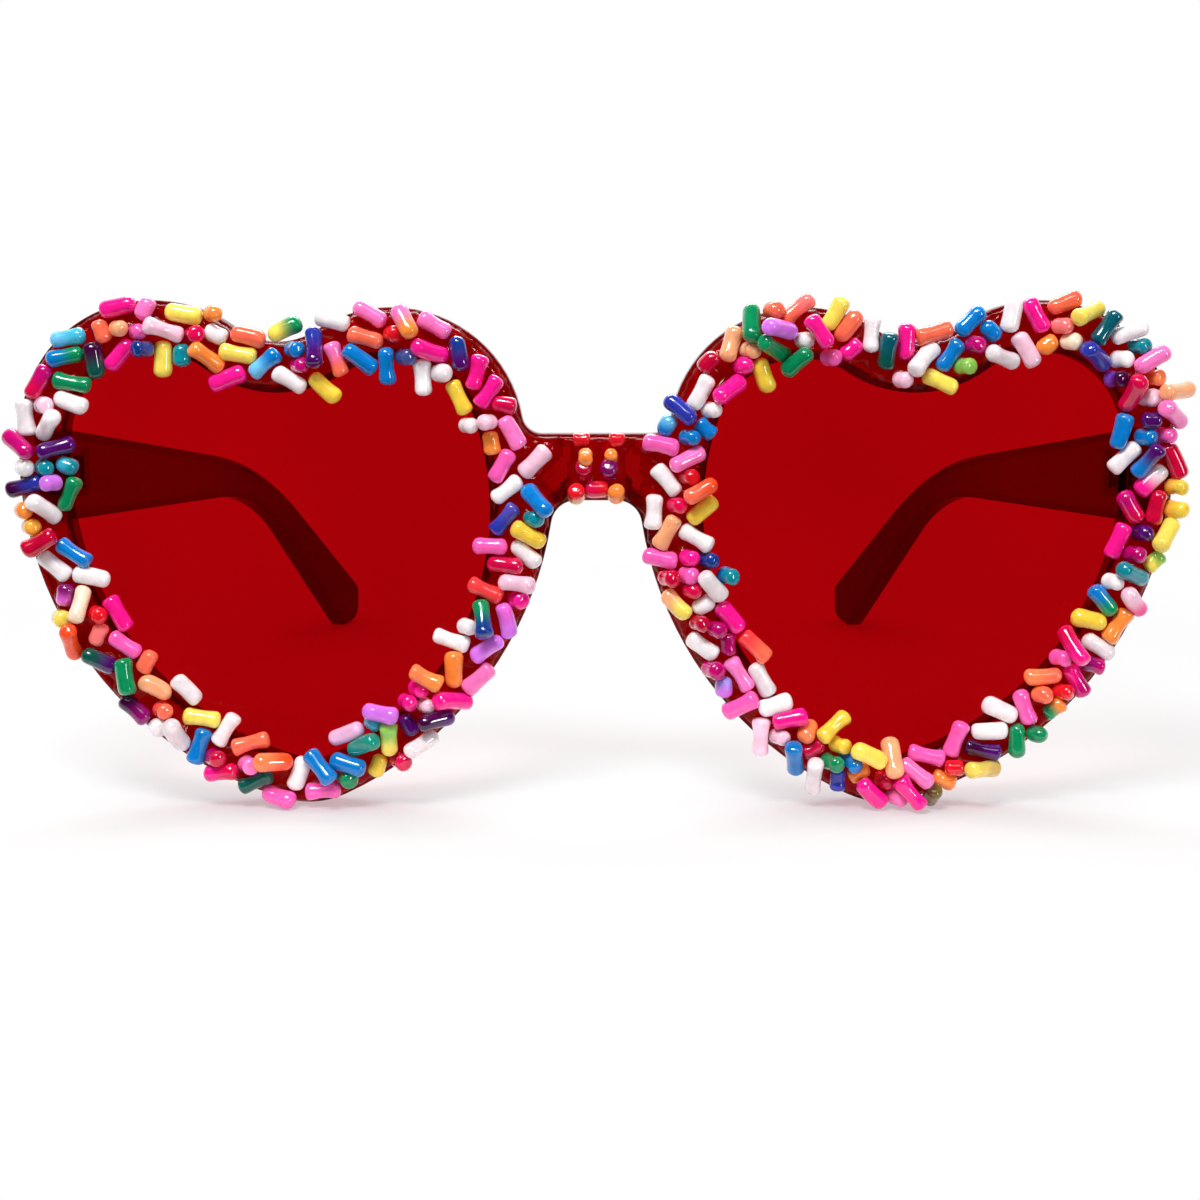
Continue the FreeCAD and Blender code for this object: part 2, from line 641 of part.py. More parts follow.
butt_text = text("hinge_setback", "-butt_gap")
butt = worth(("hinge_setback", "-butt_gap"))
recess_floor = worth(("temple_inset", "recess_depth"))
floor_text = text("temple_inset", "recess_depth")
half_tall = HINGE_TALL / 2
bore = ("screw_radius", "running_clearance")
pitch_text = "(Sizes.barrel_height+Sizes.barrel_gap)"
for name, side in SIDES.items():
    hinge_base = (f"{side}*({text(*HINGE_X)})", axis_y_text, "Sizes.hinge_height")
    turn = f"{side}*Sizes.toe_in"
    temple = new_body(f"temple_{name}", hinge_base, turn)
    profile_sketch = new_sketch(temple, f"temple_{name}_profile", "YZ_Plane", f"{side}*Sizes.temple_inset")
    add_polygon(profile_sketch, list(profile.values()))
    extrude(temple, "Pad", f"temple_{name}_arm", profile_sketch, text("temple_thickness"), reverse=side < 0)
    for corner in ROUNDED:
        wanted = crosses_at(corner_value(profile[corner]))
        soften(temple, "Fillet", f"{corner}_{name}", wanted, text(f"{corner}_radius"))
    faces = [side * worth(names) for names in (("temple_inset",), ("temple_inset", "temple_thickness"))]
    soften(
        temple, "Chamfer", f"temple_{name}_bevel",
        lambda edge: any(level_with(edge, 0, place) for place in faces), text("temple_bevel"),
    )
    recess_sketch = new_sketch(temple, f"recess_{name}_outline", "YZ_Plane", f"{side}*Sizes.temple_inset")
    add_polygon(recess_sketch, [
        ((MINUS, ("temple_lead", "recess_depth")), (MINUS, ("recess_half_height",))),
        ((PLUS, ("recess_length",)), (MINUS, ("recess_half_height",))),
        ((PLUS, ("recess_length",)), (PLUS, ("recess_half_height",))),
        ((MINUS, ("temple_lead", "recess_depth")), (PLUS, ("recess_half_height",))),
    ])
    extrude(temple, "Pocket", f"recess_{name}", recess_sketch, text("recess_depth"), reverse=side > 0)
    ends = [(size("recess_length"), sign * size("recess_half_height")) for sign in (1, -1)]
    soften(temple, "Fillet", f"recess_{name}_corners",
           lambda edge: any(crosses_at(end)(edge) for end in ends), text("recess_corner_radius"))
    butt_sketch = new_sketch(temple, f"butt_{name}_outline", "XY_Plane", "0", f"{-side}*Sizes.toe_in")
    wide = worth(("temple_inset", "temple_thickness", "temple_lead"))
    wide_text = text("temple_inset", "temple_thickness", "temple_lead")
    add_box(
        butt_sketch, (-wide, f"-({wide_text})"), (wide, wide_text),
        (-butt - wide, f"-({butt_text}+{wide_text})"), (-butt, f"-({butt_text})"),
    )
    extrude(temple, "Pocket", f"butt_{name}", butt_sketch, "4*Sizes.temple_front_drop", both_ways=True)

    frame_leaf = new_body(f"frame_leaf_{name}", hinge_base)
    plate_sketch = new_sketch(frame_leaf, f"frame_plate_{name}", "XZ_Plane", text("hinge_setback"))
    inner_end = (-size("barrel_radius"), text("-barrel_radius"))
    outer_end = (size("leaf_reach"), text("leaf_reach"))
    add_box(
        plate_sketch, *box_sides(side, inner_end, outer_end),
        (-half_tall, f"-{HINGE_HEIGHT_TEXT}/2"), (half_tall, f"{HINGE_HEIGHT_TEXT}/2"),
    )
    extrude(frame_leaf, "Pad", f"frame_plate_{name}_pad", plate_sketch, text("leaf_thickness"))
    temple_leaf = new_body(f"temple_leaf_{name}", hinge_base, turn)
    plate_sketch = new_sketch(temple_leaf, f"temple_plate_{name}", "YZ_Plane", f"{side}*({floor_text})")
    plate_start = (2 * size("leaf_thickness") + size("barrel_radius") / 2,
                   "2*Sizes.leaf_thickness+Sizes.barrel_radius/2")
    plate_end = (worth(("recess_length", "-leaf_thickness")), text("recess_length", "-leaf_thickness"))
    add_box(
        plate_sketch, plate_start, plate_end,
        (-half_tall, f"-{HINGE_HEIGHT_TEXT}/2"), (half_tall, f"{HINGE_HEIGHT_TEXT}/2"),
    )
    extrude(temple_leaf, "Pad", f"temple_plate_{name}_pad", plate_sketch, text("leaf_thickness"),
            reverse=side > 0)
    for barrel in range(BARRELS):
        low_text = f"-{HINGE_HEIGHT_TEXT}/2+{barrel}*{pitch_text}"
        body = frame_leaf if barrel % 2 == 0 else temple_leaf
        web_sketch = new_sketch(body, f"web_{name}_{barrel}", "XY_Plane", low_text)
        if body is frame_leaf:
            add_box(
                web_sketch, (-size("barrel_radius"), text("-barrel_radius")),
                (size("barrel_radius"), text("barrel_radius")),
                (-size("hinge_setback"), text("-hinge_setback")),
                (-size("leaf_clearance"), text("-leaf_clearance")),
            )
        else:
            web_ends = box_sides(side, (loose, text("leaf_clearance")), (recess_floor, floor_text))
            add_box(
                web_sketch, *web_ends, (-size("barrel_radius"), text("-barrel_radius")),
                (plate_start[0] + loose, plate_start[1] + "+Sizes.leaf_clearance"),
            )
        extrude(body, "Pad", f"web_{name}_{barrel}_pad", web_sketch, text("barrel_height"))
        barrel_sketch = new_sketch(body, f"barrel_{name}_{barrel}", "XY_Plane", low_text)
        add_circle(barrel_sketch, ("barrel_radius",))
        extrude(body, "Pad", f"barrel_{name}_{barrel}_pad", barrel_sketch, text("barrel_height"))
    for body in (frame_leaf, temple_leaf):
        bore_sketch = new_sketch(body, f"bore_{body.Name}", "XY_Plane")
        add_circle(bore_sketch, bore)
        bore_text = f"2*{HINGE_HEIGHT_TEXT}"
        extrude(body, "Pocket", f"bore_{body.Name}_cut", bore_sketch, bore_text, both_ways=True)

    screw = new_body(f"hinge_screw_{name}", hinge_base)
    shank_sketch = new_sketch(screw, f"shank_{name}", "XY_Plane", f"-{HINGE_HEIGHT_TEXT}/2")
    add_circle(shank_sketch, ("screw_radius",))
    extrude(screw, "Pad", f"shank_{name}_pad", shank_sketch, HINGE_HEIGHT_TEXT)
    head_sketch = new_sketch(screw, f"head_{name}", "XY_Plane", f"{HINGE_HEIGHT_TEXT}/2")
    add_circle(head_sketch, ("screw_head_radius",))
    extrude(screw, "Pad", f"head_{name}_pad", head_sketch, text("screw_head_height"))
    slot_sketch = new_sketch(
        screw, f"slot_{name}", "XY_Plane", f"{HINGE_HEIGHT_TEXT}/2+Sizes.screw_head_height"
    )
    slot_half = size("screw_slot_width") / 2
    add_box(
        slot_sketch, (-2 * size("screw_head_radius"), "-2*Sizes.screw_head_radius"),
        (2 * size("screw_head_radius"), "2*Sizes.screw_head_radius"),
        (-slot_half, "-Sizes.screw_slot_width/2"), (slot_half, "Sizes.screw_slot_width/2"),
    )
    extrude(screw, "Pocket", f"slot_{name}_cut", slot_sketch, text("screw_slot_depth"))

# Glue beds on the front's face
for name, side in SIDES.items():
    bed = new_body(f"glue_{name}", front_base)
    bed_sketch = new_sketch(bed, f"glue_{name}_outline", "XZ_Plane")
    for loop in (
        heart_outline(("glue_margin",), ()),
        heart_outline(("rim_width", "-glue_margin"), LOWERED),
    ):
        add_loop(bed_sketch, loop if side > 0 else mirrored(loop))
    extrude(bed, "Pad", f"glue_{name}_bed", bed_sketch, text("glue_thickness"))
bed = new_body("glue_bridge", front_base)
bed_sketch = new_sketch(bed, "glue_bridge_outline", "XZ_Plane")
half_bed = ("bridge_glue_half_width",)
add_polygon(bed_sketch, [
    ((MINUS, half_bed), (PLUS, ("bridge_glue_low",))),
    ((PLUS, half_bed), (PLUS, ("bridge_glue_low",))),
    ((PLUS, half_bed), (PLUS, ("bridge_glue_high",))),
    ((MINUS, half_bed), (PLUS, ("bridge_glue_high",))),
])
extrude(bed, "Pad", "glue_bridge_bed", bed_sketch, text("glue_thickness"))

# Sprinkle beads. Each row of these tables is the middle of one bead as read by eye off the photograph, in
# pixels across and down, and its turn in degrees from level, positive when its right-hand end is higher.
LONG_BEADS = {
    "white": (
        (288, 379, -30), (72, 404, -20), (32, 418, 95), (51, 429, 50), (46, 508, -45), (339, 327, -15),
        (424, 379, -87), (511, 488, 38), (54, 567, -40), (87, 583, -12), (82, 607, 80), (178, 697, -45),
        (222, 732, 57), (294, 783, 70), (524, 549, -42), (449, 645, -18), (415, 741, 28), (870, 337, 86),
        (697, 390, 62), (667, 483, -50), (659, 516, 87), (920, 363, 45), (1000, 355, -20), (1009, 319, 78),
        (1120, 341, 20), (1127, 454, 45), (1151, 482, 45), (693, 539, -30), (708, 581, -50),
        (704, 647, -35), (765, 686, -62), (774, 710, 15), (818, 772, 88), (1101, 645, -32),
        (1003, 713, -25), (995, 736, 3),
    ),
    "palepink": (
        (167, 332, -20), (532, 466, 45), (176, 737, -70), (514, 582, -5), (350, 739, 22), (1025, 350, -60),
        (768, 737, 88),
    ),
    "pink": (
        (338, 360, -70), (372, 319, -30), (403, 327, -60), (432, 331, -30), (510, 435, -60), (504, 466, 60),
        (122, 650, -35), (280, 797, -15), (492, 547, -2), (472, 676, 42), (319, 795, 3), (666, 444, -12),
        (687, 461, 25), (1137, 360, 33), (1164, 414, -35), (665, 556, -12), (738, 672, -57), (742, 704, 30),
        (1128, 603, -48), (1028, 712, -70), (957, 747, 68), (929, 765, -12), (912, 778, -35),
    ),
    "hotpink": (
        (125, 312, 13), (122, 357, 50), (228, 378, 22), (28, 446, -35), (432, 353, -20), (475, 374, 75),
        (488, 393, 55), (112, 618, -60), (223, 773, 8), (448, 700, -10), (906, 345, 88), (813, 336, -55),
        (728, 387, 35), (1034, 318, -60), (1135, 508, -60), (725, 618, -50), (796, 724, 10),
        (878, 797, -45), (1119, 542, 66), (1078, 682, -60), (907, 796, -50),
    ),
    "crimson": (
        (45, 383, 60), (45, 544, 30), (511, 565, -5), (1130, 398, 75), (1170, 462, -65), (1154, 503, 80),
        (1075, 645, -63),
    ),
    "coral": (
        (252, 339, -15), (368, 337, -15), (78, 641, 90), (247, 747, 15), (274, 769, -5), (491, 593, -25),
        (431, 681, -27), (795, 319, 40), (846, 329, 52), (698, 490, 28), (928, 340, 15), (1062, 311, 22),
        (752, 650, -44), (1047, 678, 5),
    ),
    "peach": ((145, 689, -28), (729, 353, 72), (1166, 396, 5), (667, 536, 60), (894, 765, -85)),
    "orange": ((211, 358, -40), (449, 669, 90), (1118, 628, 55)),
    "yellow": (
        (190, 317, -10), (165, 360, 88), (239, 356, -10), (326, 389, -42), (459, 399, -65), (530, 530, -30),
        (198, 721, -8), (389, 744, 90), (827, 320, 60), (761, 375, -70), (695, 512, 40), (938, 382, -25),
        (1083, 322, 20), (683, 603, -45), (831, 734, 38), (869, 761, -25), (1161, 537, 50),
        (1092, 622, -12), (979, 769, -5),
    ),
    "green": (
        (69, 362, 12), (74, 384, -10), (282, 334, 25), (64, 492, 65), (101, 658, -30), (119, 676, -80),
        (254, 788, 25), (481, 618, -80), (754, 331, 88), (766, 354, -30), (791, 358, 42), (1019, 743, 90),
    ),
    "teal": ((367, 750, 28), (885, 353, 84), (1105, 334, 55), (1131, 573, -25)),
    "blue": (
        (74, 342, 10), (266, 365, 40), (359, 356, -38), (388, 364, -88), (457, 356, -80), (532, 505, -45),
        (71, 552, -32), (195, 748, 72), (342, 760, -15), (315, 770, -47), (945, 354, 55), (967, 327, 45),
        (1123, 428, 75), (1143, 462, 55), (799, 754, -80), (1105, 601, -50),
    ),
    "indigo": ((504, 520, 50), (684, 414, -40), (1088, 356, -38)),
    "purple": (
        (97, 357, -82), (54, 453, 15), (31, 486, 15), (316, 351, -83), (132, 709, -42), (430, 720, 8),
        (985, 752, -12),
    ),
    "lilac": ((501, 623, -78), (491, 646, 35), (384, 717, -8), (779, 337, -12)),
}
# Beads of which only a part shows lie under the others, cut short where they are hidden
SHORT_BEADS = {
    "white": ((220, 338, -25), (707, 602, 30)),
    "pink": ((149, 314, 60), (96, 637, 65)),
    "hotpink": ((849, 351, 40), (727, 646, -85)),
    "crimson": (
        (503, 409, -10), (713, 370, 45), (821, 752, 30), (596, 492, 180), (581, 441, 180), (616, 441, 180),
    ),
    "coral": ((110, 334, -70), (138, 664, 60), (812, 738, 60)),
    "orange": ((491, 444, -80), (1043, 346, 40), (864, 781, 30), (941, 785, -20)),
    "yellow": ((374, 768, 70),),
    "green": ((1152, 558, 45), (1058, 710, 35), (928, 797, 80)),
    "teal": ((185, 356, 90), (65, 468, -20)),
    "blue": ((672, 423, 60), (699, 427, -40), (989, 331, -45), (855, 769, -40)),
    "indigo": ((841, 779, 90),),
    "purple": ((63, 596, 80), (404, 724, -60), (1095, 667, -15)),
    "lilac": ((726, 688, 90),),
}
# These were seen end on: they lean out of the face, the way that their turn gives
END_BEADS = {
    "white": (
        (30, 467, 0), (441, 375, 0), (471, 426, 0), (467, 631, 0), (804, 339, 0), (751, 346, 0),
        (707, 408, 0), (1064, 342, 0), (1116, 363, 0), (1115, 583, 0),
    ),
    "palepink": (
        (47, 407, 0), (486, 424, 0), (156, 728, 0), (427, 704, 0), (904, 377, 0), (1147, 397, 0),
        (783, 742, 0),
    ),
    "pink": (
        (136, 333, 0), (248, 768, 0), (829, 354, 0), (1161, 439, 0), (693, 577, 0), (895, 795, 0),
        (1064, 663, 0),
    ),
    "hotpink": (
        (306, 365, 0), (210, 759, 0), (511, 601, 0), (417, 696, 0), (401, 708, 0), (743, 366, 0),
        (974, 349, 0), (690, 559, 0), (717, 631, 0), (713, 671, 0), (1133, 556, 0),
    ),
    "crimson": (
        (195, 337, 0), (389, 335, 0), (93, 618, 0), (395, 757, 0), (688, 477, 0), (676, 509, 0),
        (673, 576, 0), (691, 592, 0), (704, 623, 0), (885, 783, 0), (1064, 690, 0), (951, 774, 0),
        (584, 470, 90), (581, 493, 90),
    ),
    "coral": ((160, 710, 0), (773, 318, 0), (1056, 331, 0), (1146, 379, 0), (1044, 697, 0)),
    "peach": ((122, 334, 0),),
    "orange": (
        (212, 320, 0), (29, 508, 0), (33, 530, 0), (1170, 489, 0), (1171, 511, 0), (585, 448, 90),
        (611, 448, 90), (612, 493, 90),
    ),
    "yellow": ((65, 620, 0), (844, 751, 0)),
    "green": ((343, 780, 0), (959, 366, 0), (834, 763, 0), (1038, 733, 0)),
    "teal": ((46, 466, 0), (537, 519, 0), (368, 731, 0), (1133, 342, 0), (723, 582, 0)),
    "blue": ((297, 352, 0), (688, 439, 0), (1142, 438, 0)),
    "indigo": ((146, 350, 0), (406, 357, 0), (702, 560, 0)),
    "purple": ((1119, 382, 0), (1147, 422, 0), (1144, 536, 0), (609, 470, 90)),
    "lilac": ((48, 482, 0),),
}
# Where the photograph has the middle line and the foot of the hearts, and the front's half width and height
MIDDLE_PIXEL, FOOT_PIXEL, HALF_WIDTH_PIXELS, HEIGHT_PIXELS = 596, 806, 576, 503
# A bead stands before the front's face and looks this much larger about the eye, at this share of the height
PROUD_SHARE = 0.99
EYE_SHARE = 0.93
# The bridge's beads lie this close to the middle line, as a share of half the width
BRIDGE_SHARE = 0.06
# How far a bead may shift to lie beside its neighbours, as a share of its radius, and in how many steps
SHIFT_SHARE = 0.8
SHIFT_STEPS = 40
STEP_SHARE = 0.25
LIFT_SHARE = 0.7
# Shape of a bead: the ends taper from full width to this share of it, over this share of the radius
END_WIDTH_SHARE = 0.54
END_LENGTH_SHARE = 0.84
BEAD_SIDES = 6

HALF_WIDTH = OUTER_SIDE[0] + size("outer_side_radius")
HEART_HEIGHT = worth(("outer_lobe_z", "outer_lobe_radius"))


def place_on_front(pixel_x, pixel_y):
    """Where a bead's middle lies on the front, across and up."""
    across = (pixel_x - MIDDLE_PIXEL) / HALF_WIDTH_PIXELS * PROUD_SHARE
    up = EYE_SHARE - (EYE_SHARE - (FOOT_PIXEL - pixel_y) / HEIGHT_PIXELS) * PROUD_SHARE
    return across * HALF_WIDTH, up * HEART_HEIGHT


def closest(first, second):
    """The nearest places of two straight runs, as shares along each, and the way between them."""
    run, other, gap = first[1] - first[0], second[1] - second[0], first[0] - second[0]
    long, other_long, slant = run.dot(run), other.dot(other), run.dot(other)
    spread = long * other_long - slant * slant
    share = (slant * other.dot(gap) - other_long * run.dot(gap)) / spread if spread else 0
    share = min(1, max(0, share))
    other_share = min(1, max(0, (slant * share + other.dot(gap)) / other_long))
    share = min(1, max(0, (slant * other_share - run.dot(gap)) / long))
    return share, other_share, second[0] + other * other_share - first[0] - run * share


def new_bead(colour, row, length, lean):
    """A bead on the glue: its axis runs between two ends and leans out of the face, which is along Y."""
    across, up = place_on_front(row[0], row[1])
    half = length / 2 - END_LENGTH_SHARE * size("bead_radius")
    turn, lean = math.radians(row[2]), math.radians(lean)
    flat = half * math.cos(lean)
    reach = Vector(flat * math.cos(turn), half * math.sin(lean), flat * math.sin(turn))
    low = max(0, size("bead_radius") + size("bead_gap") - up + abs(reach.z))
    middle = Vector(across, worth(("glue_thickness", "bead_radius")) + reach.y, up + low)
    if abs(across) < BRIDGE_SHARE * HALF_WIDTH:
        place = "bridge"
    else:
        place = "left" if across < 0 else "right"
    node = f"beads_{place}_{colour}"
    return {"node": node, "ends": [middle - reach, middle + reach], "moved": Vector(0, 0, 0)}


beads = []
for rows_by_colour, length, lean in (
    (SHORT_BEADS, size("short_bead_length"), 0),
    (END_BEADS, size("short_bead_length"), size("end_bead_lean")),
    (LONG_BEADS, size("bead_length"), 0),
):
    for colour, rows in rows_by_colour.items():
        beads += [new_bead(colour, row, length, lean) for row in rows]
bead_apart = 2 * size("bead_radius") + size("bead_gap")
near_enough = size("bead_length") + size("bead_radius")


def bead_middle(bead):
    return (bead["ends"][0] + bead["ends"][1]) / 2


neighbours = [
    [other for other in range(len(beads))
     if other != here and bead_middle(beads[other]).distanceToPoint(bead_middle(beads[here])) < near_enough]
    for here in range(len(beads))
]
# First each bead shifts a little in the face's plane, away from those that it overlaps
for step in range(SHIFT_STEPS):
    for here, bead in enumerate(beads):
        push = Vector(0, 0, 0)
        for other in neighbours[here]:
            way = closest(bead["ends"], beads[other]["ends"])[2]
            if 0 < way.Length < bead_apart:
                push -= Vector(way.x, 0, way.z) / way.Length * (bead_apart - way.Length) * STEP_SHARE
        moved = bead["moved"] + push
        most = SHIFT_SHARE * size("bead_radius")
        if moved.Length > most:
            moved = moved / moved.Length * most
        lowest = min(end.z for end in bead["ends"]) - bead["moved"].z + moved.z
        moved.z += max(0, worth(("bead_radius", "bead_gap")) - lowest)
        bead["ends"] = [end - bead["moved"] + moved for end in bead["ends"]]
        bead["moved"] = moved
# Then they are laid down one by one, and each rises at either end until it clears those below it
for here, bead in enumerate(beads):
    below = [beads[other]["ends"] for other in neighbours[here] if other < here]
    while below:
        nearest = min((closest(bead["ends"], other) for other in below), key=lambda found: found[2].Length)
        short = bead_apart - nearest[2].Length
        if short <= 0:
            break
        lift = LIFT_SHARE * short + size("bead_gap")
        weights = (1 - nearest[0], nearest[0])
        total = weights[0] ** 2 + weights[1] ** 2
        rises = [Vector(0, lift * weight / total, 0) for weight in weights]
        bead["ends"] = [end + rise for end, rise in zip(bead["ends"], rises)]


def bead_solid(ends):
    """One bead: a barrel with flat facets, widest between its two ends and tapered beyond them."""
    radius = size("bead_radius")
    ends = [Vector(end.x, -end.y, end.z) for end in ends]
    along = (ends[1] - ends[0]).normalize()
    out = Vector(0, -1, 0)
    out = (out - along * out.dot(along)).normalize()
    beside = along.cross(out)
    cap = along * (END_LENGTH_SHARE * radius)
    rings = []
    for middle, width in (
        (ends[0] - cap, END_WIDTH_SHARE * radius), (ends[0], radius),
        (ends[1], radius), (ends[1] + cap, END_WIDTH_SHARE * radius),
    ):
        turns = [2 * math.pi * number / BEAD_SIDES for number in range(BEAD_SIDES)]
        rings.append([middle + out * (width * math.cos(t)) + beside * (width * math.sin(t)) for t in turns])
    outlines = [rings[0], rings[-1]]
    for first, second in zip(rings, rings[1:]):
        for number in range(BEAD_SIDES):
            after = (number + 1) % BEAD_SIDES
            outlines.append([first[number], first[after], second[after], second[number]])
    faces = [Part.Face(Part.makePolygon(outline + outline[:1])) for outline in outlines]
    return Part.makeSolid(Part.makeShell(faces))


groups = {}
for bead in beads:
    groups.setdefault(bead["node"], []).append(bead_solid(bead["ends"]))
for node, solids in groups.items():
    group = doc.addObject("Part::Feature", node)
    group.Label = node
    group.Shape = Part.makeCompound(solids)
    group.setExpression("Placement.Base.y", FRONT_Y_TEXT)

# Checks and files
doc.recompute()
parts = [thing for thing in doc.Objects if thing.TypeId in ("PartDesign::Body", "Part::Feature")]
for thing in doc.Objects:
    if "Invalid" in thing.State or "Error" in thing.State:
        raise RuntimeError(f"{thing.Name} did not build: {thing.State}")
os.makedirs("parts", exist_ok=True)
for thing in parts:
    if thing.Shape.isNull() or not thing.Shape.isValid():
        raise RuntimeError(f"{thing.Name} has no valid shape")
    thing.Shape.exportStep(f"parts/{thing.Label}.step")
    box = thing.Shape.BoundBox
    print(thing.Label, len(thing.Shape.Solids), round(thing.Shape.Volume, 2),
          [round(v, 2) for v in (box.XMin, box.XMax, box.YMin, box.YMax, box.ZMin, box.ZMax)])
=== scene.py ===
import math
import random

import bpy
import numpy as np
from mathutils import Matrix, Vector
from mathutils.bvhtree import BVHTree


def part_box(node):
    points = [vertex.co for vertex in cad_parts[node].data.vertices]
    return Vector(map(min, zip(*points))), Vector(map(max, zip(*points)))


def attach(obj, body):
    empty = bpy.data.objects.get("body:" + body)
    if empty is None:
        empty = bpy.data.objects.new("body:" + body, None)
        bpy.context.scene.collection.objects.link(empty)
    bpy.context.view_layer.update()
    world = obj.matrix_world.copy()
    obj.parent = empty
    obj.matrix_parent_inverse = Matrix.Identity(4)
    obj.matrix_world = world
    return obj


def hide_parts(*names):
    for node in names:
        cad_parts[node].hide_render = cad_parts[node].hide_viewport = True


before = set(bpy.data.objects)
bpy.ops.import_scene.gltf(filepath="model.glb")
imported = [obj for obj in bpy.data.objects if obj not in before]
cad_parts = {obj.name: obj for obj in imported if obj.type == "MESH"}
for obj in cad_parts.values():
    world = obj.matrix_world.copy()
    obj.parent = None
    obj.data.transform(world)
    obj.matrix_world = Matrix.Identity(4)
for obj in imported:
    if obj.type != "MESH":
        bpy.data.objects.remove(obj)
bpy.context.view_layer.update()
scene = bpy.context.scene
scene.view_settings.view_transform = "Standard"
MM = 0.001
SEED = 7
WHITE = (1.0, 1.0, 1.0)
dice = random.Random(SEED)

# Camera: level with the tops of the hearts and tipped a little down, before the middle of the front.
CAMERA_PLACE = (0.0, -292.8 * MM, 61.4 * MM)
CAMERA_TIP = 4.0
CAMERA_SENSOR, CAMERA_LENS = 36.0, 51.37
CAMERA_SHIFT = (0.0029, -0.1211)
CAMERA_CLIP = (0.005, 50.0)


def place_camera():
    data = bpy.data.cameras.new("camera")
    data.sensor_width, data.lens = CAMERA_SENSOR, CAMERA_LENS
    data.shift_x, data.shift_y = CAMERA_SHIFT
    data.clip_start, data.clip_end = CAMERA_CLIP
    camera = bpy.data.objects.new("camera", data)
    scene.collection.objects.link(camera)
    camera.location = CAMERA_PLACE
    camera.rotation_euler = (math.radians(90.0 - CAMERA_TIP), 0.0, 0.0)
    scene.camera = camera


place_camera()


def linear(red, green, blue):
    """Scene-linear colour of an 8 bit screen colour."""
    def one(value):
        value = value / 255.0
        return value / 12.92 if value <= 0.04045 else ((value + 0.055) / 1.055) ** 2.4
    return (one(red), one(green), one(blue))


def shade(colour, by):
    """The colour made lighter or darker, at most full."""
    return tuple(min(1.0, part * by) for part in colour)


def grey(value):
    return (value, value, value)


class Tree:
    """A material's or the world's nodes, with short calls to add and join them."""

    def __init__(self, owner):
        owner.use_nodes = True
        self.owner = owner
        self.nodes = owner.node_tree.nodes
        self.links = owner.node_tree.links
        self.nodes.clear()

    def add(self, kind, settings=None, **inputs):
        """A new node. An input's name has _ for a space, and its value is a number, a colour or a socket."""
        node = self.nodes.new(kind)
        for name, value in (settings or {}).items():
            setattr(node, name, value)
        for name, value in inputs.items():
            self.put(node.inputs[name.replace("_", " ")], value)
        return node

    def put(self, socket, value):
        if isinstance(value, bpy.types.NodeSocket):
            self.links.new(value, socket)
            return
        held = socket.default_value
        if hasattr(held, "__len__") and len(held) == 4 and len(value) == 3:
            value = (*value, 1.0)
        socket.default_value = value

    def place(self):
        """Object coordinates, in metres."""
        return self.add("ShaderNodeTexCoord").outputs["Object"]

    def axes(self, vector):
        """The X, Y and Z outputs of a vector."""
        node = self.add("ShaderNodeSeparateXYZ")
        self.put(node.inputs[0], vector)
        return node.outputs

    def noise(self, per_mm, detail, stretch=None):
        """A noise value with that many waves to the millimetre."""
        place = self.place()
        if stretch:
            place = self.add("ShaderNodeMapping", Scale=stretch, Vector=place).outputs["Vector"]
        return self.add("ShaderNodeTexNoise", Scale=per_mm / MM, Detail=detail, Vector=place).outputs["Fac"]

    def cells(self, per_mm):
        """The distance to the nearest of scattered points, with that many to the millimetre."""
        return self.add("ShaderNodeTexVoronoi", Scale=per_mm / MM, Vector=self.place()).outputs["Distance"]

    def spread(self, value, low, high, first=0.3, last=0.7):
        """value from first..last mapped to low..high."""
        node = self.add("ShaderNodeMapRange", {"clamp": True}, Value=value)
        for name, number in (("From Min", first), ("From Max", last), ("To Min", low), ("To Max", high)):
            node.inputs[name].default_value = number
        return node.outputs["Result"]

    def blend(self, value, first, second, how="MIX"):
        """A colour between first and second by value."""
        node = self.add("ShaderNodeMix", {"data_type": "RGBA", "blend_type": how})
        for number, part in ((0, value), (6, first), (7, second)):
            self.put(node.inputs[number], part)
        return node.outputs[2]

    def math(self, how, first, second=0.0):
        node = self.add("ShaderNodeMath", {"operation": how})
        self.put(node.inputs[0], first)
        self.put(node.inputs[1], second)
        return node.outputs[0]

    def bump(self, height, depth_mm, strength=1.0):
        node = self.add("ShaderNodeBump", Strength=strength, Distance=depth_mm * MM, Height=height)
        return node.outputs["Normal"]

    def ray(self, name):
        return self.add("ShaderNodeLightPath").outputs[name]

    def seen(self):
        """1 for rays from the camera, and those that glass sends on, before they light anything."""
        straight = self.math("MAXIMUM", self.ray("Is Camera Ray"), self.ray("Is Transmission Ray"))
        return self.math("MULTIPLY", straight, self.math("LESS_THAN", self.ray("Diffuse Depth"), 0.5))

    def mix(self, value, first, second):
        """A shader between first and second by value."""
        node = self.add("ShaderNodeMixShader")
        for number, part in enumerate((value, first, second)):
            self.put(node.inputs[number], part)
        return node.outputs[0]

    def lets_lamps_through(self, shader, tint):
        """The shader, with lamp light passing through it in that tint."""
        clear = self.add("ShaderNodeBsdfTransparent", Color=tint)
        return self.mix(self.ray("Is Shadow Ray"), shader, clear.outputs[0])

    def finish(self, shader, volume=None):
        """Joins the shaders to the output and gives the material back."""
        output = self.add("ShaderNodeOutputMaterial", Surface=shader)
        if volume:
            self.put(output.inputs["Volume"], volume)
        return self.owner


# Materials. Each builder returns the material; the node trees hold no images.
CLOUD_SHADES = (0.93, 1.07)
RUBS_PER_MM, RUBS_STRETCH = 1.6, (1.0, 1.0, 5.0)
RUBBED_SHARES = (0.6, 1.6)
WAVES_PER_MM = 0.09
PAD_BLEND = 0.4 * MM
# How squarely a face must look along the axis for the painted edge shade to fade, from full to none.
EDGE_SHADE_TURN = (0.78, 0.96)


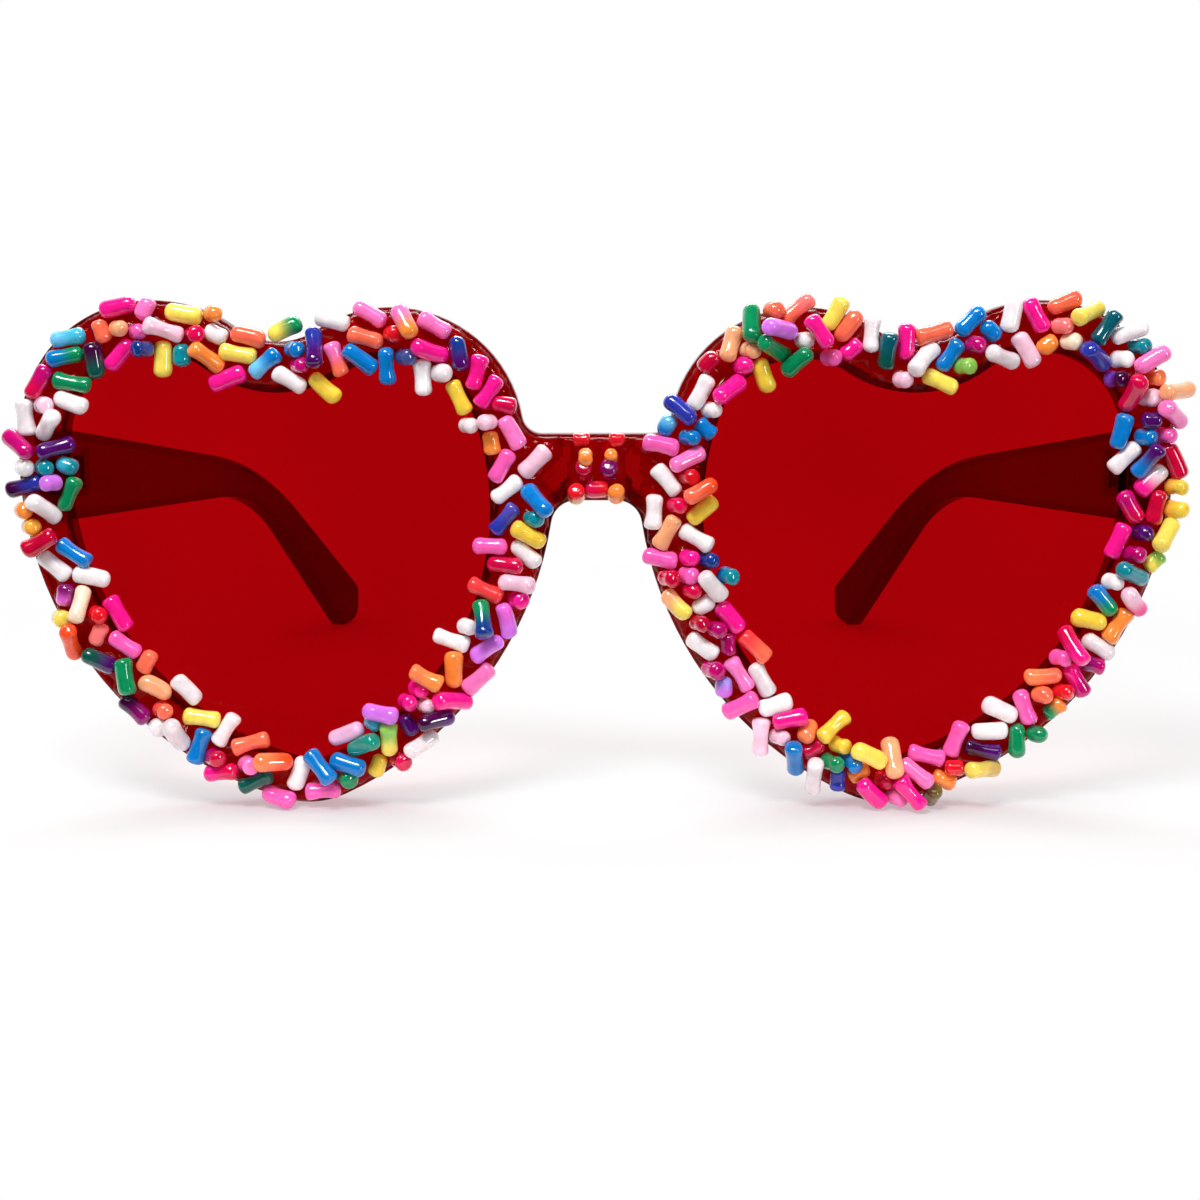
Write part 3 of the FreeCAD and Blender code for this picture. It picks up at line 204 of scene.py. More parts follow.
def clear_plastic(
        name, colour, lamp_tint, ior, rough, cloud_per_mm, wave_mm,
        depth=None, pads_from=None, tip_shade=None, edge=None, coat=None, clear=1.0):
    """A tinted clear moulding: faint clouds in the colour, fine rub marks in the gloss, slow flow waves.

    With depth, a colour and a density to the millimetre, the moulding is darker where it is thicker. What
    lies behind pads_from is the darker nose pads. tip is a painted shade: a tint for the far end, with where
    it starts and where it is reached. edge is a painted shade on the edges: an axis and a tint for the faces
    that don't look along it. coat is the IOR and roughness of a clear coat, and clear is the share of the
    light that passes.
    """
    tree = Tree(bpy.data.materials.new(name))
    cloud = tree.spread(tree.noise(cloud_per_mm, detail=4.0), 0.0, 1.0)
    tint = tree.blend(cloud, *(shade(colour, by) for by in CLOUD_SHADES))
    if pads_from:
        behind = tree.spread(tree.axes(tree.place())["Y"], 0.0, 1.0, pads_from, pads_from + PAD_BLEND)
        tint = tree.blend(behind, tint, PAD_RED)
    # A painted shade: a darker tint blended in along Y towards the far end.
    if tip_shade:
        tip_shade_tint, start, end = tip_shade
        tint = tree.blend(tree.spread(tree.axes(tree.place())["Y"], 0.0, 1.0, start, end), tint, tip_shade_tint)
    # Painted shade: faces that look aside from the axis take the darker edge tint, for dark edges.
    if edge:
        axis, edge_shade_tint = edge
        normal = tree.axes(tree.add("ShaderNodeTexCoord").outputs["Normal"])
        squarely = tree.math("ABSOLUTE", normal[axis])
        tint = tree.blend(tree.spread(squarely, 1.0, 0.0, *EDGE_SHADE_TURN), tint, edge_shade_tint)
    rubs = tree.noise(RUBS_PER_MM, detail=6.0, stretch=RUBS_STRETCH)
    principled = tree.add(
        "ShaderNodeBsdfPrincipled", IOR=ior, Transmission_Weight=clear, Base_Color=tint,
        Roughness=tree.spread(rubs, *(rough * share for share in RUBBED_SHARES)),
        Normal=tree.bump(tree.noise(WAVES_PER_MM, detail=2.0), wave_mm))
    if coat:
        principled.inputs["Coat Weight"].default_value = 1.0
        principled.inputs["Coat IOR"].default_value, principled.inputs["Coat Roughness"].default_value = coat
    volume = None
    if depth:
        colour_left, per_mm = depth
        volume = tree.add("ShaderNodeVolumeAbsorption", Color=colour_left, Density=per_mm / MM).outputs[0]
    return tree.finish(tree.lets_lamps_through(principled.outputs[0], lamp_tint), volume)


STREAKS_PER_MM, STREAKS_STRETCH = 6.0, (1.0, 1.0, 0.06)
STREAKED_SHARES = (0.7, 1.5)
STREAK_MM = 0.01
DULL_PER_MM, DULL_SHADES = 0.7, (0.7, 1.15)


def plated_metal(name, colour, rough):
    """Drawn, plated metal: streaks along its length and small dull patches."""
    tree = Tree(bpy.data.materials.new(name))
    streaks = tree.noise(STREAKS_PER_MM, detail=4.0, stretch=STREAKS_STRETCH)
    patches = tree.spread(tree.noise(DULL_PER_MM, detail=5.0), 0.0, 1.0)
    principled = tree.add(
        "ShaderNodeBsdfPrincipled", Metallic=1.0,
        Base_Color=tree.blend(patches, *(shade(colour, by) for by in DULL_SHADES)),
        Roughness=tree.spread(streaks, *(rough * share for share in STREAKED_SHARES)),
        Normal=tree.bump(streaks, STREAK_MM, strength=0.5))
    return tree.finish(principled.outputs[0])


FLECKS_PER_MM, FLECK_SIZE, FLECK_LIFT = 4.2, (0.05, 0.16), 1.4
BEAD_CLOUDS_PER_MM, BEAD_CLOUD_SHADES = 0.8, (0.84, 1.06)
SKIN_PER_MM, SKIN_ROUGH, SKIN_MM = 1.1, (0.12, 0.26), 0.04
CLEAREST = 0.4


def bead_plastic(name):
    """Glossy bead: its own tint along its length, pearly flecks, an uneven skin under a coat of glue."""
    tree = Tree(bpy.data.materials.new(name))
    tint = tree.add("ShaderNodeAttribute", {"attribute_name": "tint"})
    clear = tree.add("ShaderNodeAttribute", {"attribute_name": "clear"})
    fleck = tree.spread(tree.cells(FLECKS_PER_MM), 1.0, 0.0, *FLECK_SIZE)
    cloud = tree.spread(tree.noise(BEAD_CLOUDS_PER_MM, detail=4.0), *BEAD_CLOUD_SHADES)
    body = tree.blend(1.0, tint.outputs["Color"], cloud, "MULTIPLY")
    skin = tree.noise(SKIN_PER_MM, detail=3.0)
    principled = tree.add(
        "ShaderNodeBsdfPrincipled", IOR=1.15, Coat_Weight=1.0, Coat_IOR=1.6, Coat_Roughness=0.035,
        Subsurface_Weight=0.3, Subsurface_Scale=1.2 * MM, Subsurface_Radius=(1.0, 0.7, 0.7),
        Base_Color=tree.blend(1.0, body, tree.spread(fleck, 1.0, FLECK_LIFT, 0.0, 1.0), "MULTIPLY"),
        Roughness=tree.spread(skin, *SKIN_ROUGH),
        Transmission_Weight=tree.math("MULTIPLY", clear.outputs["Fac"], CLEAREST),
        Normal=tree.bump(skin, SKIN_MM, strength=0.5))
    return tree.finish(principled.outputs[0])


RIPPLES_PER_MM, RIPPLE_ROUGH, RIPPLE_MM = 0.9, (0.02, 0.05), 0.015
BUBBLES_PER_MM, BUBBLE_SIZE, BUBBLE_SHARE = 0.9, (0.08, 0.16), 0.25
GLUE_CLOUDS_PER_MM = 0.3
GLUE_REDS = ((0.60, 0.0, 0.003), (0.84, 0.003, 0.010))
GLUE_LAMP_TINT = (0.98, 0.9, 0.9)
# Painted glow: where the film is thick, less of it lets light through and its red scatters back, a red glow
# painted in the gaps between the beads.
THIN_CLEAR, THICK_GLOW_CLEAR = 1.0, 0.86
THICK_GLOW_SPAN = (0.5, 1.0)


def clear_glue(name):
    """Set clear adhesive that takes on the frame's red, with slow ripples and small bubbles in its skin."""
    tree = Tree(bpy.data.materials.new(name))
    ripple = tree.noise(RIPPLES_PER_MM, detail=2.0)
    pits = tree.spread(tree.cells(BUBBLES_PER_MM), 0.0, 1.0, *BUBBLE_SIZE)
    height = tree.math("ADD", ripple, tree.math("MULTIPLY", pits, BUBBLE_SHARE))
    cloud = tree.spread(tree.noise(GLUE_CLOUDS_PER_MM, detail=3.0), 0.0, 1.0)
    # Painted glow: the thicker the film, the less clear it is, so its red lights up between the beads.
    thick = tree.add("ShaderNodeAttribute", {"attribute_name": "thick"})
    principled = tree.add(
        "ShaderNodeBsdfPrincipled", IOR=1.18,
        Transmission_Weight=tree.spread(thick.outputs["Fac"], THIN_CLEAR, THICK_GLOW_CLEAR, *THICK_GLOW_SPAN),
        Base_Color=tree.blend(cloud, *GLUE_REDS),
        Roughness=tree.spread(ripple, *RIPPLE_ROUGH),
        Normal=tree.bump(height, RIPPLE_MM, strength=0.5))
    return tree.finish(tree.lets_lamps_through(principled.outputs[0], GLUE_LAMP_TINT))


PLASTIC_LAMP_TINT = (0.75, 0.70, 0.70)
FRAME_RED = (0.44, 0.010, 0.014)
# Painted shade: the darker red for the frame's faces that look aside from Y, for its dark edges.
FRAME_EDGE_SHADE = (0.20, 0.003, 0.005)
FRAME_DEPTH = ((0.935, 0.0, 0.10), 1.75)
PAD_RED = (0.02, 0.0, 0.0)
PADS_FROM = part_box("front_frame")[1][1] - 2.3 * MM
frame_plastic = clear_plastic(
    "frame_plastic", FRAME_RED, PLASTIC_LAMP_TINT, ior=1.12, rough=0.02, cloud_per_mm=0.05, wave_mm=0.02,
    depth=FRAME_DEPTH, pads_from=PADS_FROM, edge=("Y", FRAME_EDGE_SHADE), clear=0.92)

LENS_RED = linear(166, 1, 8)
LENS_LAMP_TINT = (0.80, 0.76, 0.76)
lens_sheet = clear_plastic(
    "lens_sheet", LENS_RED, LENS_LAMP_TINT, ior=1.10, rough=0.012, cloud_per_mm=0.03, wave_mm=0.004)

TEMPLE_RED = (0.29, 0.008, 0.01)
# Painted shade: the temples darken towards their far ends, between these two places along Y.
TEMPLE_TIP_SHADE = (0.16, 0.006, 0.008)
TEMPLE_TIP_SHADE_SPAN = (-30.0 * MM, 40.0 * MM)
# Painted shade: the darker red for the temples' faces that look aside from X, for their dark edges.
TEMPLE_EDGE_SHADE = (0.17, 0.005, 0.006)
TEMPLE_COAT = (1.08, 0.3)
temple_plastic = clear_plastic(
    "temple_plastic", TEMPLE_RED, PLASTIC_LAMP_TINT, ior=1.02, rough=0.03, cloud_per_mm=0.05, wave_mm=0.003,
    tip_shade=(TEMPLE_TIP_SHADE, *TEMPLE_TIP_SHADE_SPAN), edge=("X", TEMPLE_EDGE_SHADE), coat=TEMPLE_COAT, clear=0.94)

HINGE_GREY = (0.07, 0.068, 0.068)
SCREW_GREY = (0.14, 0.137, 0.134)
hinge_metal = plated_metal("hinge_metal", HINGE_GREY, rough=0.32)
screw_metal = plated_metal("screw_metal", SCREW_GREY, rough=0.26)
glue_clear = clear_glue("glue_clear")


def dress(node, material):
    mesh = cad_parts[node].data
    mesh.materials.clear()
    mesh.materials.append(material)


dress("front_frame", frame_plastic)
for side in ("left", "right"):
    dress(f"lens_{side}", lens_sheet)
    dress(f"temple_{side}", temple_plastic)
    dress(f"frame_leaf_{side}", hinge_metal)
    dress(f"temple_leaf_{side}", hinge_metal)
    dress(f"hinge_screw_{side}", screw_metal)

# Beads. The solids give each bead's middle, direction and length; the rod built there has rounded ends,
# a waist and its own colours.
HUES = {
    "white": (236, 226, 229), "snow": (242, 236, 238), "cream": (250, 226, 196),
    "beige": (232, 196, 160), "palepink": (248, 200, 220), "lilacpink": (230, 180, 216),
    "pink": (255, 122, 194), "rose": (254, 96, 184), "hotpink": (255, 24, 146),
    "magenta": (196, 6, 114), "crimson": (210, 4, 60), "crimsonpink": (224, 8, 80),
    "red": (236, 22, 40), "coral": (255, 110, 80), "orangered": (248, 80, 34),
    "coralorange": (255, 132, 80), "coralred": (248, 66, 68), "pinkcoral": (255, 122, 120),
    "peach": (252, 172, 124), "orange": (255, 142, 60), "orangeyellow": (250, 176, 62),
    "yellow": (246, 220, 92), "gold": (244, 206, 66), "tan": (216, 182, 100),
    "yellowgreen": (210, 212, 76), "green": (8, 142, 88), "lightgreen": (146, 204, 88),
    "darkgreen": (8, 86, 76), "olive": (114, 94, 42), "teal": (8, 142, 158),
    "greenteal": (20, 148, 130), "darkteal": (6, 94, 110), "cyan": (62, 182, 212),
    "blue": (6, 123, 202), "lightblue": (110, 192, 236), "indigo": (42, 54, 166),
    "violetblue": (82, 78, 176), "navy": (20, 58, 140), "slate": (70, 84, 152), "purple": (80, 8, 104),
    "darkpurple": (62, 2, 58), "violet": (126, 70, 202), "magentapurple": (136, 8, 104),
    "lilac": (216, 118, 236), "pinkviolet": (240, 108, 218), "lavender": (170, 148, 240),
}
# The colours that a node's beads are drawn from, by the colour in its name.
USUAL = {
    "white": ("white", "snow"), "palepink": ("palepink",), "pink": ("pink", "rose"),
    "hotpink": ("hotpink",), "crimson": ("crimson", "crimsonpink"), "coral": ("coral",),
    "peach": ("peach",), "orange": ("orange",), "yellow": ("yellow", "gold"), "green": ("green",),
    "teal": ("teal",), "blue": ("blue",), "indigo": ("indigo",), "purple": ("purple",),
    "lilac": ("lilac",),
}
# How clear the beads of each colour are.
CLEAR_SHARE = {
    "white": 0.0, "palepink": 0.05, "pink": 0.08, "hotpink": 0.18, "crimson": 0.32, "coral": 0.08,
    "peach": 0.05, "orange": 0.1, "yellow": 0.0, "green": 0.15, "teal": 0.15, "blue": 0.1,
    "indigo": 0.15, "purple": 0.2, "lilac": 0.12,
}
# Beads that differ from their class: where each is on the front, in pixels, its upper or left colour, its
# other end's colour, and how clear it is.
SPECIAL = {
    "white": (
        (82, 607, "cream", "cream", 0.0), (751, 346, "beige", "peach", 0.1),
        (1064, 342, "cream", "cream", 0.0), (1151, 482, "white", "hotpink", 0.0),
    ),
    "palepink": (
        (350, 739, "lilacpink", "lilacpink", 0.0), (157, 729, "white", "white", 0.0),
        (175, 738, "white", "white", 0.0),
    ),
    "pink": (
        (338, 360, "pink", "coral", 0.0), (403, 327, "pink", "orange", 0.0),
        (96, 637, "pinkcoral", "pinkcoral", 0.0), (1128, 603, "palepink", "hotpink", 0.0),
    ),
    "hotpink": (
        (28, 446, "magenta", "magenta", 0.2), (306, 365, "magenta", "magenta", 0.2),
        (210, 759, "magenta", "crimson", 0.3), (222, 774, "hotpink", "crimsonpink", 0.2),
        (974, 349, "magenta", "magenta", 0.2), (1135, 508, "magenta", "crimsonpink", 0.2),
        (713, 671, "magenta", "magenta", 0.2), (1133, 556, "magenta", "magenta", 0.2),
        (1078, 682, "hotpink", "magenta", 0.1), (717, 631, "magenta", "magenta", 0.6),
    ),
    "crimson": (
        (45, 383, "magenta", "crimsonpink", 0.1), (503, 409, "crimsonpink", "crimsonpink", 0.2),
        (1075, 645, "crimsonpink", "hotpink", 0.1), (45, 544, "crimson", "crimson", 0.6),
        (713, 370, "crimson", "crimson", 0.6), (688, 477, "red", "red", 0.7),
        (704, 623, "crimson", "crimson", 0.6), (389, 335, "red", "red", 0.3),
        (93, 618, "red", "red", 0.3), (885, 783, "red", "crimson", 0.3), (1064, 690, "red", "red", 0.3),
        (951, 774, "red", "red", 0.2), (596, 492, "crimsonpink", "red", 0.3),
        (580, 493, "red", "tan", 0.2), (584, 470, "crimson", "crimson", 0.85),
        (581, 441, "red", "red", 0.5), (616, 441, "red", "red", 0.5),
        (217, 757, "magenta", "magentapurple", 0.3),
    ),
    "coral": (
        (78, 641, "orangered", "orangered", 0.0), (698, 490, "orangered", "coral", 0.0),
        (1146, 379, "orangered", "coralorange", 0.0), (274, 769, "coralorange", "orangered", 0.0),
        (431, 681, "coralorange", "orange", 0.0), (1047, 678, "coralorange", "coral", 0.0),
        (812, 738, "coralorange", "coralorange", 0.0), (491, 593, "coralred", "coralred", 0.1),
        (752, 650, "coralred", "coral", 0.0), (160, 710, "coralred", "coral", 0.0),
        (795, 319, "pinkcoral", "coral", 0.0), (1056, 331, "pinkcoral", "pinkcoral", 0.0),
    ),
    "orange": (
        (33, 530, "orangeyellow", "orangeyellow", 0.1), (1170, 489, "orangeyellow", "gold", 0.1),
    ),
    "yellow": (
        (65, 620, "yellowgreen", "yellow", 0.0), (389, 744, "lightgreen", "yellow", 0.0),
        (979, 769, "yellow", "tan", 0.0), (683, 603, "peach", "yellow", 0.0),
    ),
    "green": (
        (69, 362, "blue", "green", 0.1), (282, 334, "green", "yellow", 0.0),
        (101, 658, "darkgreen", "purple", 0.2), (254, 788, "darkgreen", "darkgreen", 0.3),
        (343, 780, "darkgreen", "green", 0.2), (481, 618, "green", "navy", 0.1),
        (959, 366, "lightgreen", "lightgreen", 0.2), (1152, 558, "lightgreen", "yellow", 0.0),
        (1058, 710, "orange", "green", 0.0), (928, 797, "olive", "olive", 0.2),
    ),
    "teal": (
        (367, 750, "greenteal", "greenteal", 0.1), (885, 353, "darkteal", "darkgreen", 0.2),
        (1105, 334, "darkteal", "darkteal", 0.2), (65, 468, "cyan", "teal", 0.1),
        (368, 731, "cyan", "cyan", 0.1), (723, 582, "blue", "teal", 0.1),
    ),
    "blue": (
        (74, 342, "lightblue", "cyan", 0.0), (672, 423, "lightblue", "blue", 0.1),
        (266, 365, "blue", "lightblue", 0.1), (457, 356, "navy", "purple", 0.2),
        (1143, 462, "purple", "blue", 0.1), (1105, 601, "blue", "green", 0.1),
    ),
    "indigo": (
        (504, 520, "violetblue", "indigo", 0.1), (146, 350, "navy", "slate", 0.3),
        (702, 560, "navy", "navy", 0.1), (406, 357, "slate", "slate", 0.2),
    ),
    "purple": (
        (97, 357, "darkpurple", "darkgreen", 0.15), (31, 486, "darkpurple", "indigo", 0.1),
        (132, 709, "darkpurple", "magentapurple", 0.15), (430, 720, "darkpurple", "purple", 0.1),
        (985, 752, "darkpurple", "purple", 0.1), (1144, 536, "darkpurple", "purple", 0.1),
        (316, 351, "indigo", "purple", 0.1), (1119, 382, "violet", "darkpurple", 0.2),
        (63, 596, "magentapurple", "pinkviolet", 0.1), (1095, 667, "magentapurple", "magenta", 0.1),
        (609, 470, "magentapurple", "magentapurple", 0.7),
    ),
    "lilac": (
        (501, 623, "pinkviolet", "lilac", 0.0), (726, 688, "lavender", "lilac", 0.1),
    ),
}
# Beads with a waist of their own, and the shorter bridge beads, by the same pixels.
WAISTED = {
    ("coral", 247, 747): 0.34, ("white", 339, 327): 0.3, ("green", 1152, 558): 0.2,
    ("blue", 342, 760): 0.22,
}
BLOBS = ((581, 441), (616, 441))
PIXELS_PER_MM = 7.68
MIDDLE_PIXEL, FOOT_PIXEL = 596.5, 806.0
NEAR, BLOB_NEAR = 2.6 * MM, 1.8 * MM
GRAIN = 0.001 * MM
UPRIGHT = 0.35


def spot(pixel_x, pixel_y):
    """Where a pixel lies on the front, across and up, in metres."""
    across, up = (pixel_x - MIDDLE_PIXEL) / PIXELS_PER_MM, (FOOT_PIXEL - pixel_y) / PIXELS_PER_MM
    return Vector((across, 0.0, up)) * MM


def islands(mesh):
    """The point clouds of a mesh's separate solids."""
    places, owner = {}, []
    for vertex in mesh.vertices:
        key = tuple(round(part / GRAIN) for part in vertex.co)
        owner.append(places.setdefault(key, len(places)))
    parent = list(range(len(places)))

    def root(item):
        while parent[item] != item:
            parent[item] = parent[parent[item]]
            item = parent[item]
        return item

    for polygon in mesh.polygons:
        first = root(owner[polygon.vertices[0]])
        for corner in polygon.vertices[1:]:
            parent[root(owner[corner])] = first
            first = root(first)
    groups = {}
    for key, number in places.items():
        groups.setdefault(root(number), []).append(Vector(key) * GRAIN)
    return list(groups.values())


def measured(points):
    """Middle, unit direction and length of a rod's points, its direction running down or to the right."""
    cloud = np.array([tuple(point) for point in points])
    middle = cloud.mean(0)
    values, vectors = np.linalg.eigh(np.cov((cloud - middle).T))
    lone_high = values[2] - values[1] >= values[1] - values[0]
    direction = vectors[:, 2] if lone_high else vectors[:, 0]
    along = (cloud - middle) @ direction
    length = along.max() - along.min()
    forward = direction[2] < 0 if abs(direction[2]) > UPRIGHT else direction[0] > 0
    return Vector(middle), Vector(direction if forward else -direction), float(length)


SIDES = 16
CAP_TURNS = (90.0, 66.0, 42.0, 20.0)
BODY_STOPS = (-0.92, -0.55, -0.18, 0.18, 0.55, 0.92)
POLE_SHARE = 0.03
WAIST_LEVEL = 0.45
ROUND_WOBBLE, LONG_WOBBLE = 0.018, 0.014
TINT_SLOPE = 0.9
LEAST_TURN = 0.1


def ring_places(half, curve, cap):
    """Where a rod's rings lie along it, and their shares of its radius."""
    turns = [math.radians(turn) for turn in CAP_TURNS]
    ends = [(half - curve + curve * math.sin(turn), 1.0 - cap + cap * math.cos(turn)) for turn in turns]
    body = [((half - curve) * stop, 1.0) for stop in BODY_STOPS]
    return [(-along, share) for along, share in ends] + body + ends[::-1]


class RodPile:
    """Collects the rods of one piece: their points, faces, tints and clearness."""

    def __init__(self):
        self.points, self.faces, self.tints, self.clears = [], [], [], []

    def add(self, middle, direction, length, radius, colours, clear, waist, bend, cap, uneven):
        """A rod with rounded ends.

        waist, bend and uneven are shares of the radius: how much the rod narrows in its middle, bows
        aside and widens from one end to the other. cap is the share that the rounding takes.
        """
        side = direction.cross(Vector((0.0, 1.0, 0.0)))
        side = side.normalized() if side.length > LEAST_TURN else Vector((1.0, 0.0, 0.0))
        out = side.cross(direction).normalized()
        half = length / 2
        rings = ring_places(half, radius * cap, cap)
        phase = dice.uniform(0.0, math.tau)
        start = len(self.points)
        low, high = Vector(colours[0]), Vector(colours[1])

        def put(along, share, turn):
            t = along / half
            width = radius * share * (1.0 + waist * (t * t - WAIST_LEVEL)) * (1.0 + uneven * t)
            around, lengthwise = math.sin(2.0 * turn + phase), math.sin(3.0 * t + phase * 2.0)
            width *= 1.0 + ROUND_WOBBLE * around + LONG_WOBBLE * lengthwise
            drift = bend * radius * (1.0 - t * t)
            spoke = side * math.cos(turn) + out * math.sin(turn)
            self.points.append(middle + direction * along + side * drift + spoke * width)
            mix = min(1.0, max(0.0, 0.5 + TINT_SLOPE * t))
            mix = mix * mix * (3.0 - 2.0 * mix)
            self.tints.append((*low.lerp(high, mix), 1.0))
            self.clears.append(clear)

        put(-half - POLE_SHARE * radius, 0.0, 0.0)
        for along, share in rings:
            for step in range(SIDES):
                put(along, share, math.tau * step / SIDES)
        put(half + POLE_SHARE * radius, 0.0, 0.0)
        self.skin(start, len(rings))

    def skin(self, start, ring_count):
        """The faces of the rod whose points begin at start."""
        end = len(self.points) - 1
        first, last = start + 1, start + 1 + SIDES * (ring_count - 1)
        pairs = [(step, (step + 1) % SIDES) for step in range(SIDES)]
        for step, after in pairs:
            self.faces.append((start, first + after, first + step))
            self.faces.append((end, last + step, last + after))
        for here in range(first, last, SIDES):
            for step, after in pairs:
                self.faces.append((here + step, here + after, here + SIDES + after, here + SIDES + step))

    def piece(self, name, material):
        mesh = bpy.data.meshes.new(name)
        mesh.from_pydata(self.points, [], self.faces)
        tint = mesh.attributes.new("tint", "FLOAT_COLOR", "POINT")
        tint.data.foreach_set("color", [part for row in self.tints for part in row])
        clear = mesh.attributes.new("clear", "FLOAT", "POINT")
        clear.data.foreach_set("value", self.clears)
        return linked(name, mesh, material)


def linked(name, mesh, material):
    """A smooth object of the mesh in the scene."""
    mesh.polygons.foreach_set("use_smooth", [True] * len(mesh.polygons))
    mesh.materials.append(material)
    mesh.update()
    piece = bpy.data.objects.new(name, mesh)
    scene.collection.objects.link(piece)
    return piece


SOLID_RADIUS = 1.08 * MM
CLEAR_SPAN = (0.5, 1.5)
LIFT_SPAN = (0.92, 1.06)
WAISTS = (0.04, 0.10, 0.16, 0.24, 0.34)
STRETCH_SPAN, SWELL_SPAN = (0.97, 1.05), (1.02, 1.14)
BLOB_STRETCH, BLOB_SWELL, BLOB_DROP = 0.72, 0.92, 0.7 * MM
BEND_SPAN, CAP_SPAN, UNEVEN_SPAN = (-0.16, 0.16), (0.62, 0.98), (-0.08, 0.08)


def add_rod(pile, part, colour, middle, direction, length):
    """Draws one bead's colours and shape, in this order, and adds it to the pile."""
    flat = Vector((middle[0], 0.0, middle[2]))

    def away(row):
        return (spot(*row[:2]) - flat).length

    shades = USUAL[colour]
    hues = [shades[dice.randrange(len(shades))]] * 2
    clear = CLEAR_SHARE[colour] * dice.uniform(*CLEAR_SPAN)
    near = [row for row in SPECIAL.get(colour, ()) if away(row) < NEAR]
    if near:
        _, _, *hues, clear = min(near, key=away)
    lift = dice.uniform(*LIFT_SPAN)
    colours = [shade(linear(*HUES[hue]), lift) for hue in hues]
    waist = dice.choice(WAISTS)
    for (name, *pixels), amount in WAISTED.items():
        if name == colour and away(pixels) < NEAR:
            waist = amount
    stretch, swell = dice.uniform(*STRETCH_SPAN), dice.uniform(*SWELL_SPAN)
    if part == "bridge" and any(away(blob) < BLOB_NEAR for blob in BLOBS):
        stretch, swell = BLOB_STRETCH, BLOB_SWELL
        middle = middle - Vector((0.0, 0.0, BLOB_DROP))
    bend, cap, uneven = (dice.uniform(*span) for span in (BEND_SPAN, CAP_SPAN, UNEVEN_SPAN))
    pile.add(
        middle, direction, length * stretch, SOLID_RADIUS * swell, colours, clear, waist, bend, cap, uneven)


bead_materials = {colour: bead_plastic(f"bead_{colour}") for colour in USUAL}
rods = {"left": [], "right": [], "bridge": []}
for node in sorted(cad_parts):
    if not node.startswith("beads_"):
        continue
    part, colour = node.split("_")[1:]
    pile = RodPile()
    found = [measured(points) for points in islands(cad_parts[node].data)]
    for rod in sorted(found, key=lambda rod: rod[0][0]):
        rods[part].append(rod)
        add_rod(pile, part, colour, *rod)
    piece = pile.piece(f"sprinkles_{part}_{colour}", bead_materials[colour])
    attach(piece, "front")
    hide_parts(node)

# Glue: a film on the face of the front that climbs round the feet of the beads.
front_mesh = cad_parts["front_frame"].data
front_tree = BVHTree.FromPolygons(
    [vertex.co for vertex in front_mesh.vertices], [polygon.vertices for polygon in front_mesh.polygons])
front_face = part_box("front_frame")[0][1]
GLUE_STEP = 0.45 * MM
GLUE_MARGIN = Vector((4, 0, 4)) * MM
GLUE_REACH, REACH_END = 2.3 * MM, 1.3
GLUE_BED = 0.30 * MM
GLUE_SINK = 0.12 * MM
LEAST_RISE, GLUE_RISE = 0.4 * MM, 1.25 * MM
FOOT_SHARE, FOOT_SPREAD = 0.62, 1.25 * MM
LEAST_RUN = 1e-12
NO_GLUE = -1.0
LOOK_FROM, FACE_DEPTH = 5 * MM, 0.7 * MM
LEAST_FILM, EDGE_DIP = 0.02 * MM, 0.02 * MM
SMOOTH_FACTOR, SMOOTH_TURNS = 0.5, 2


def glue_rise(grid, beads):
    """How far the film stands off the front's face at each place of the grid."""
    rise = np.full(len(grid), NO_GLUE)
    for middle, direction, length in beads:
        first = np.array((middle[0] - direction[0] * length / 2, middle[2] - direction[2] * length / 2))
        run = np.array((direction[0] * length, direction[2] * length))
        share = np.clip(((grid - first) @ run) / max(run @ run, LEAST_RUN), 0.0, 1.0)
        gap = np.linalg.norm(grid - first - share[:, None] * run, axis=1)
        height = min(max((front_face - middle[1]) * FOOT_SHARE, LEAST_RISE), GLUE_RISE)
        bump = GLUE_BED + height * np.exp(-(gap / FOOT_SPREAD) ** 2) - GLUE_BED * (gap / GLUE_REACH) ** 4
        rise = np.maximum(rise, np.where(gap < GLUE_REACH * REACH_END, bump, NO_GLUE))
    return rise


def glue_base(grid, rise):
    """Where the front's face lies at each place of the grid that the glue reaches."""
    base = np.full(len(grid), np.nan)
    for number in np.flatnonzero(rise > NO_GLUE / 2):
        x, z = grid[number]
        hit = front_tree.ray_cast(Vector((x, front_face - LOOK_FROM, z)), Vector((0.0, 1.0, 0.0)))[0]
        if hit is not None and hit[1] < front_face + FACE_DEPTH:
            base[number] = hit[1]
    return base


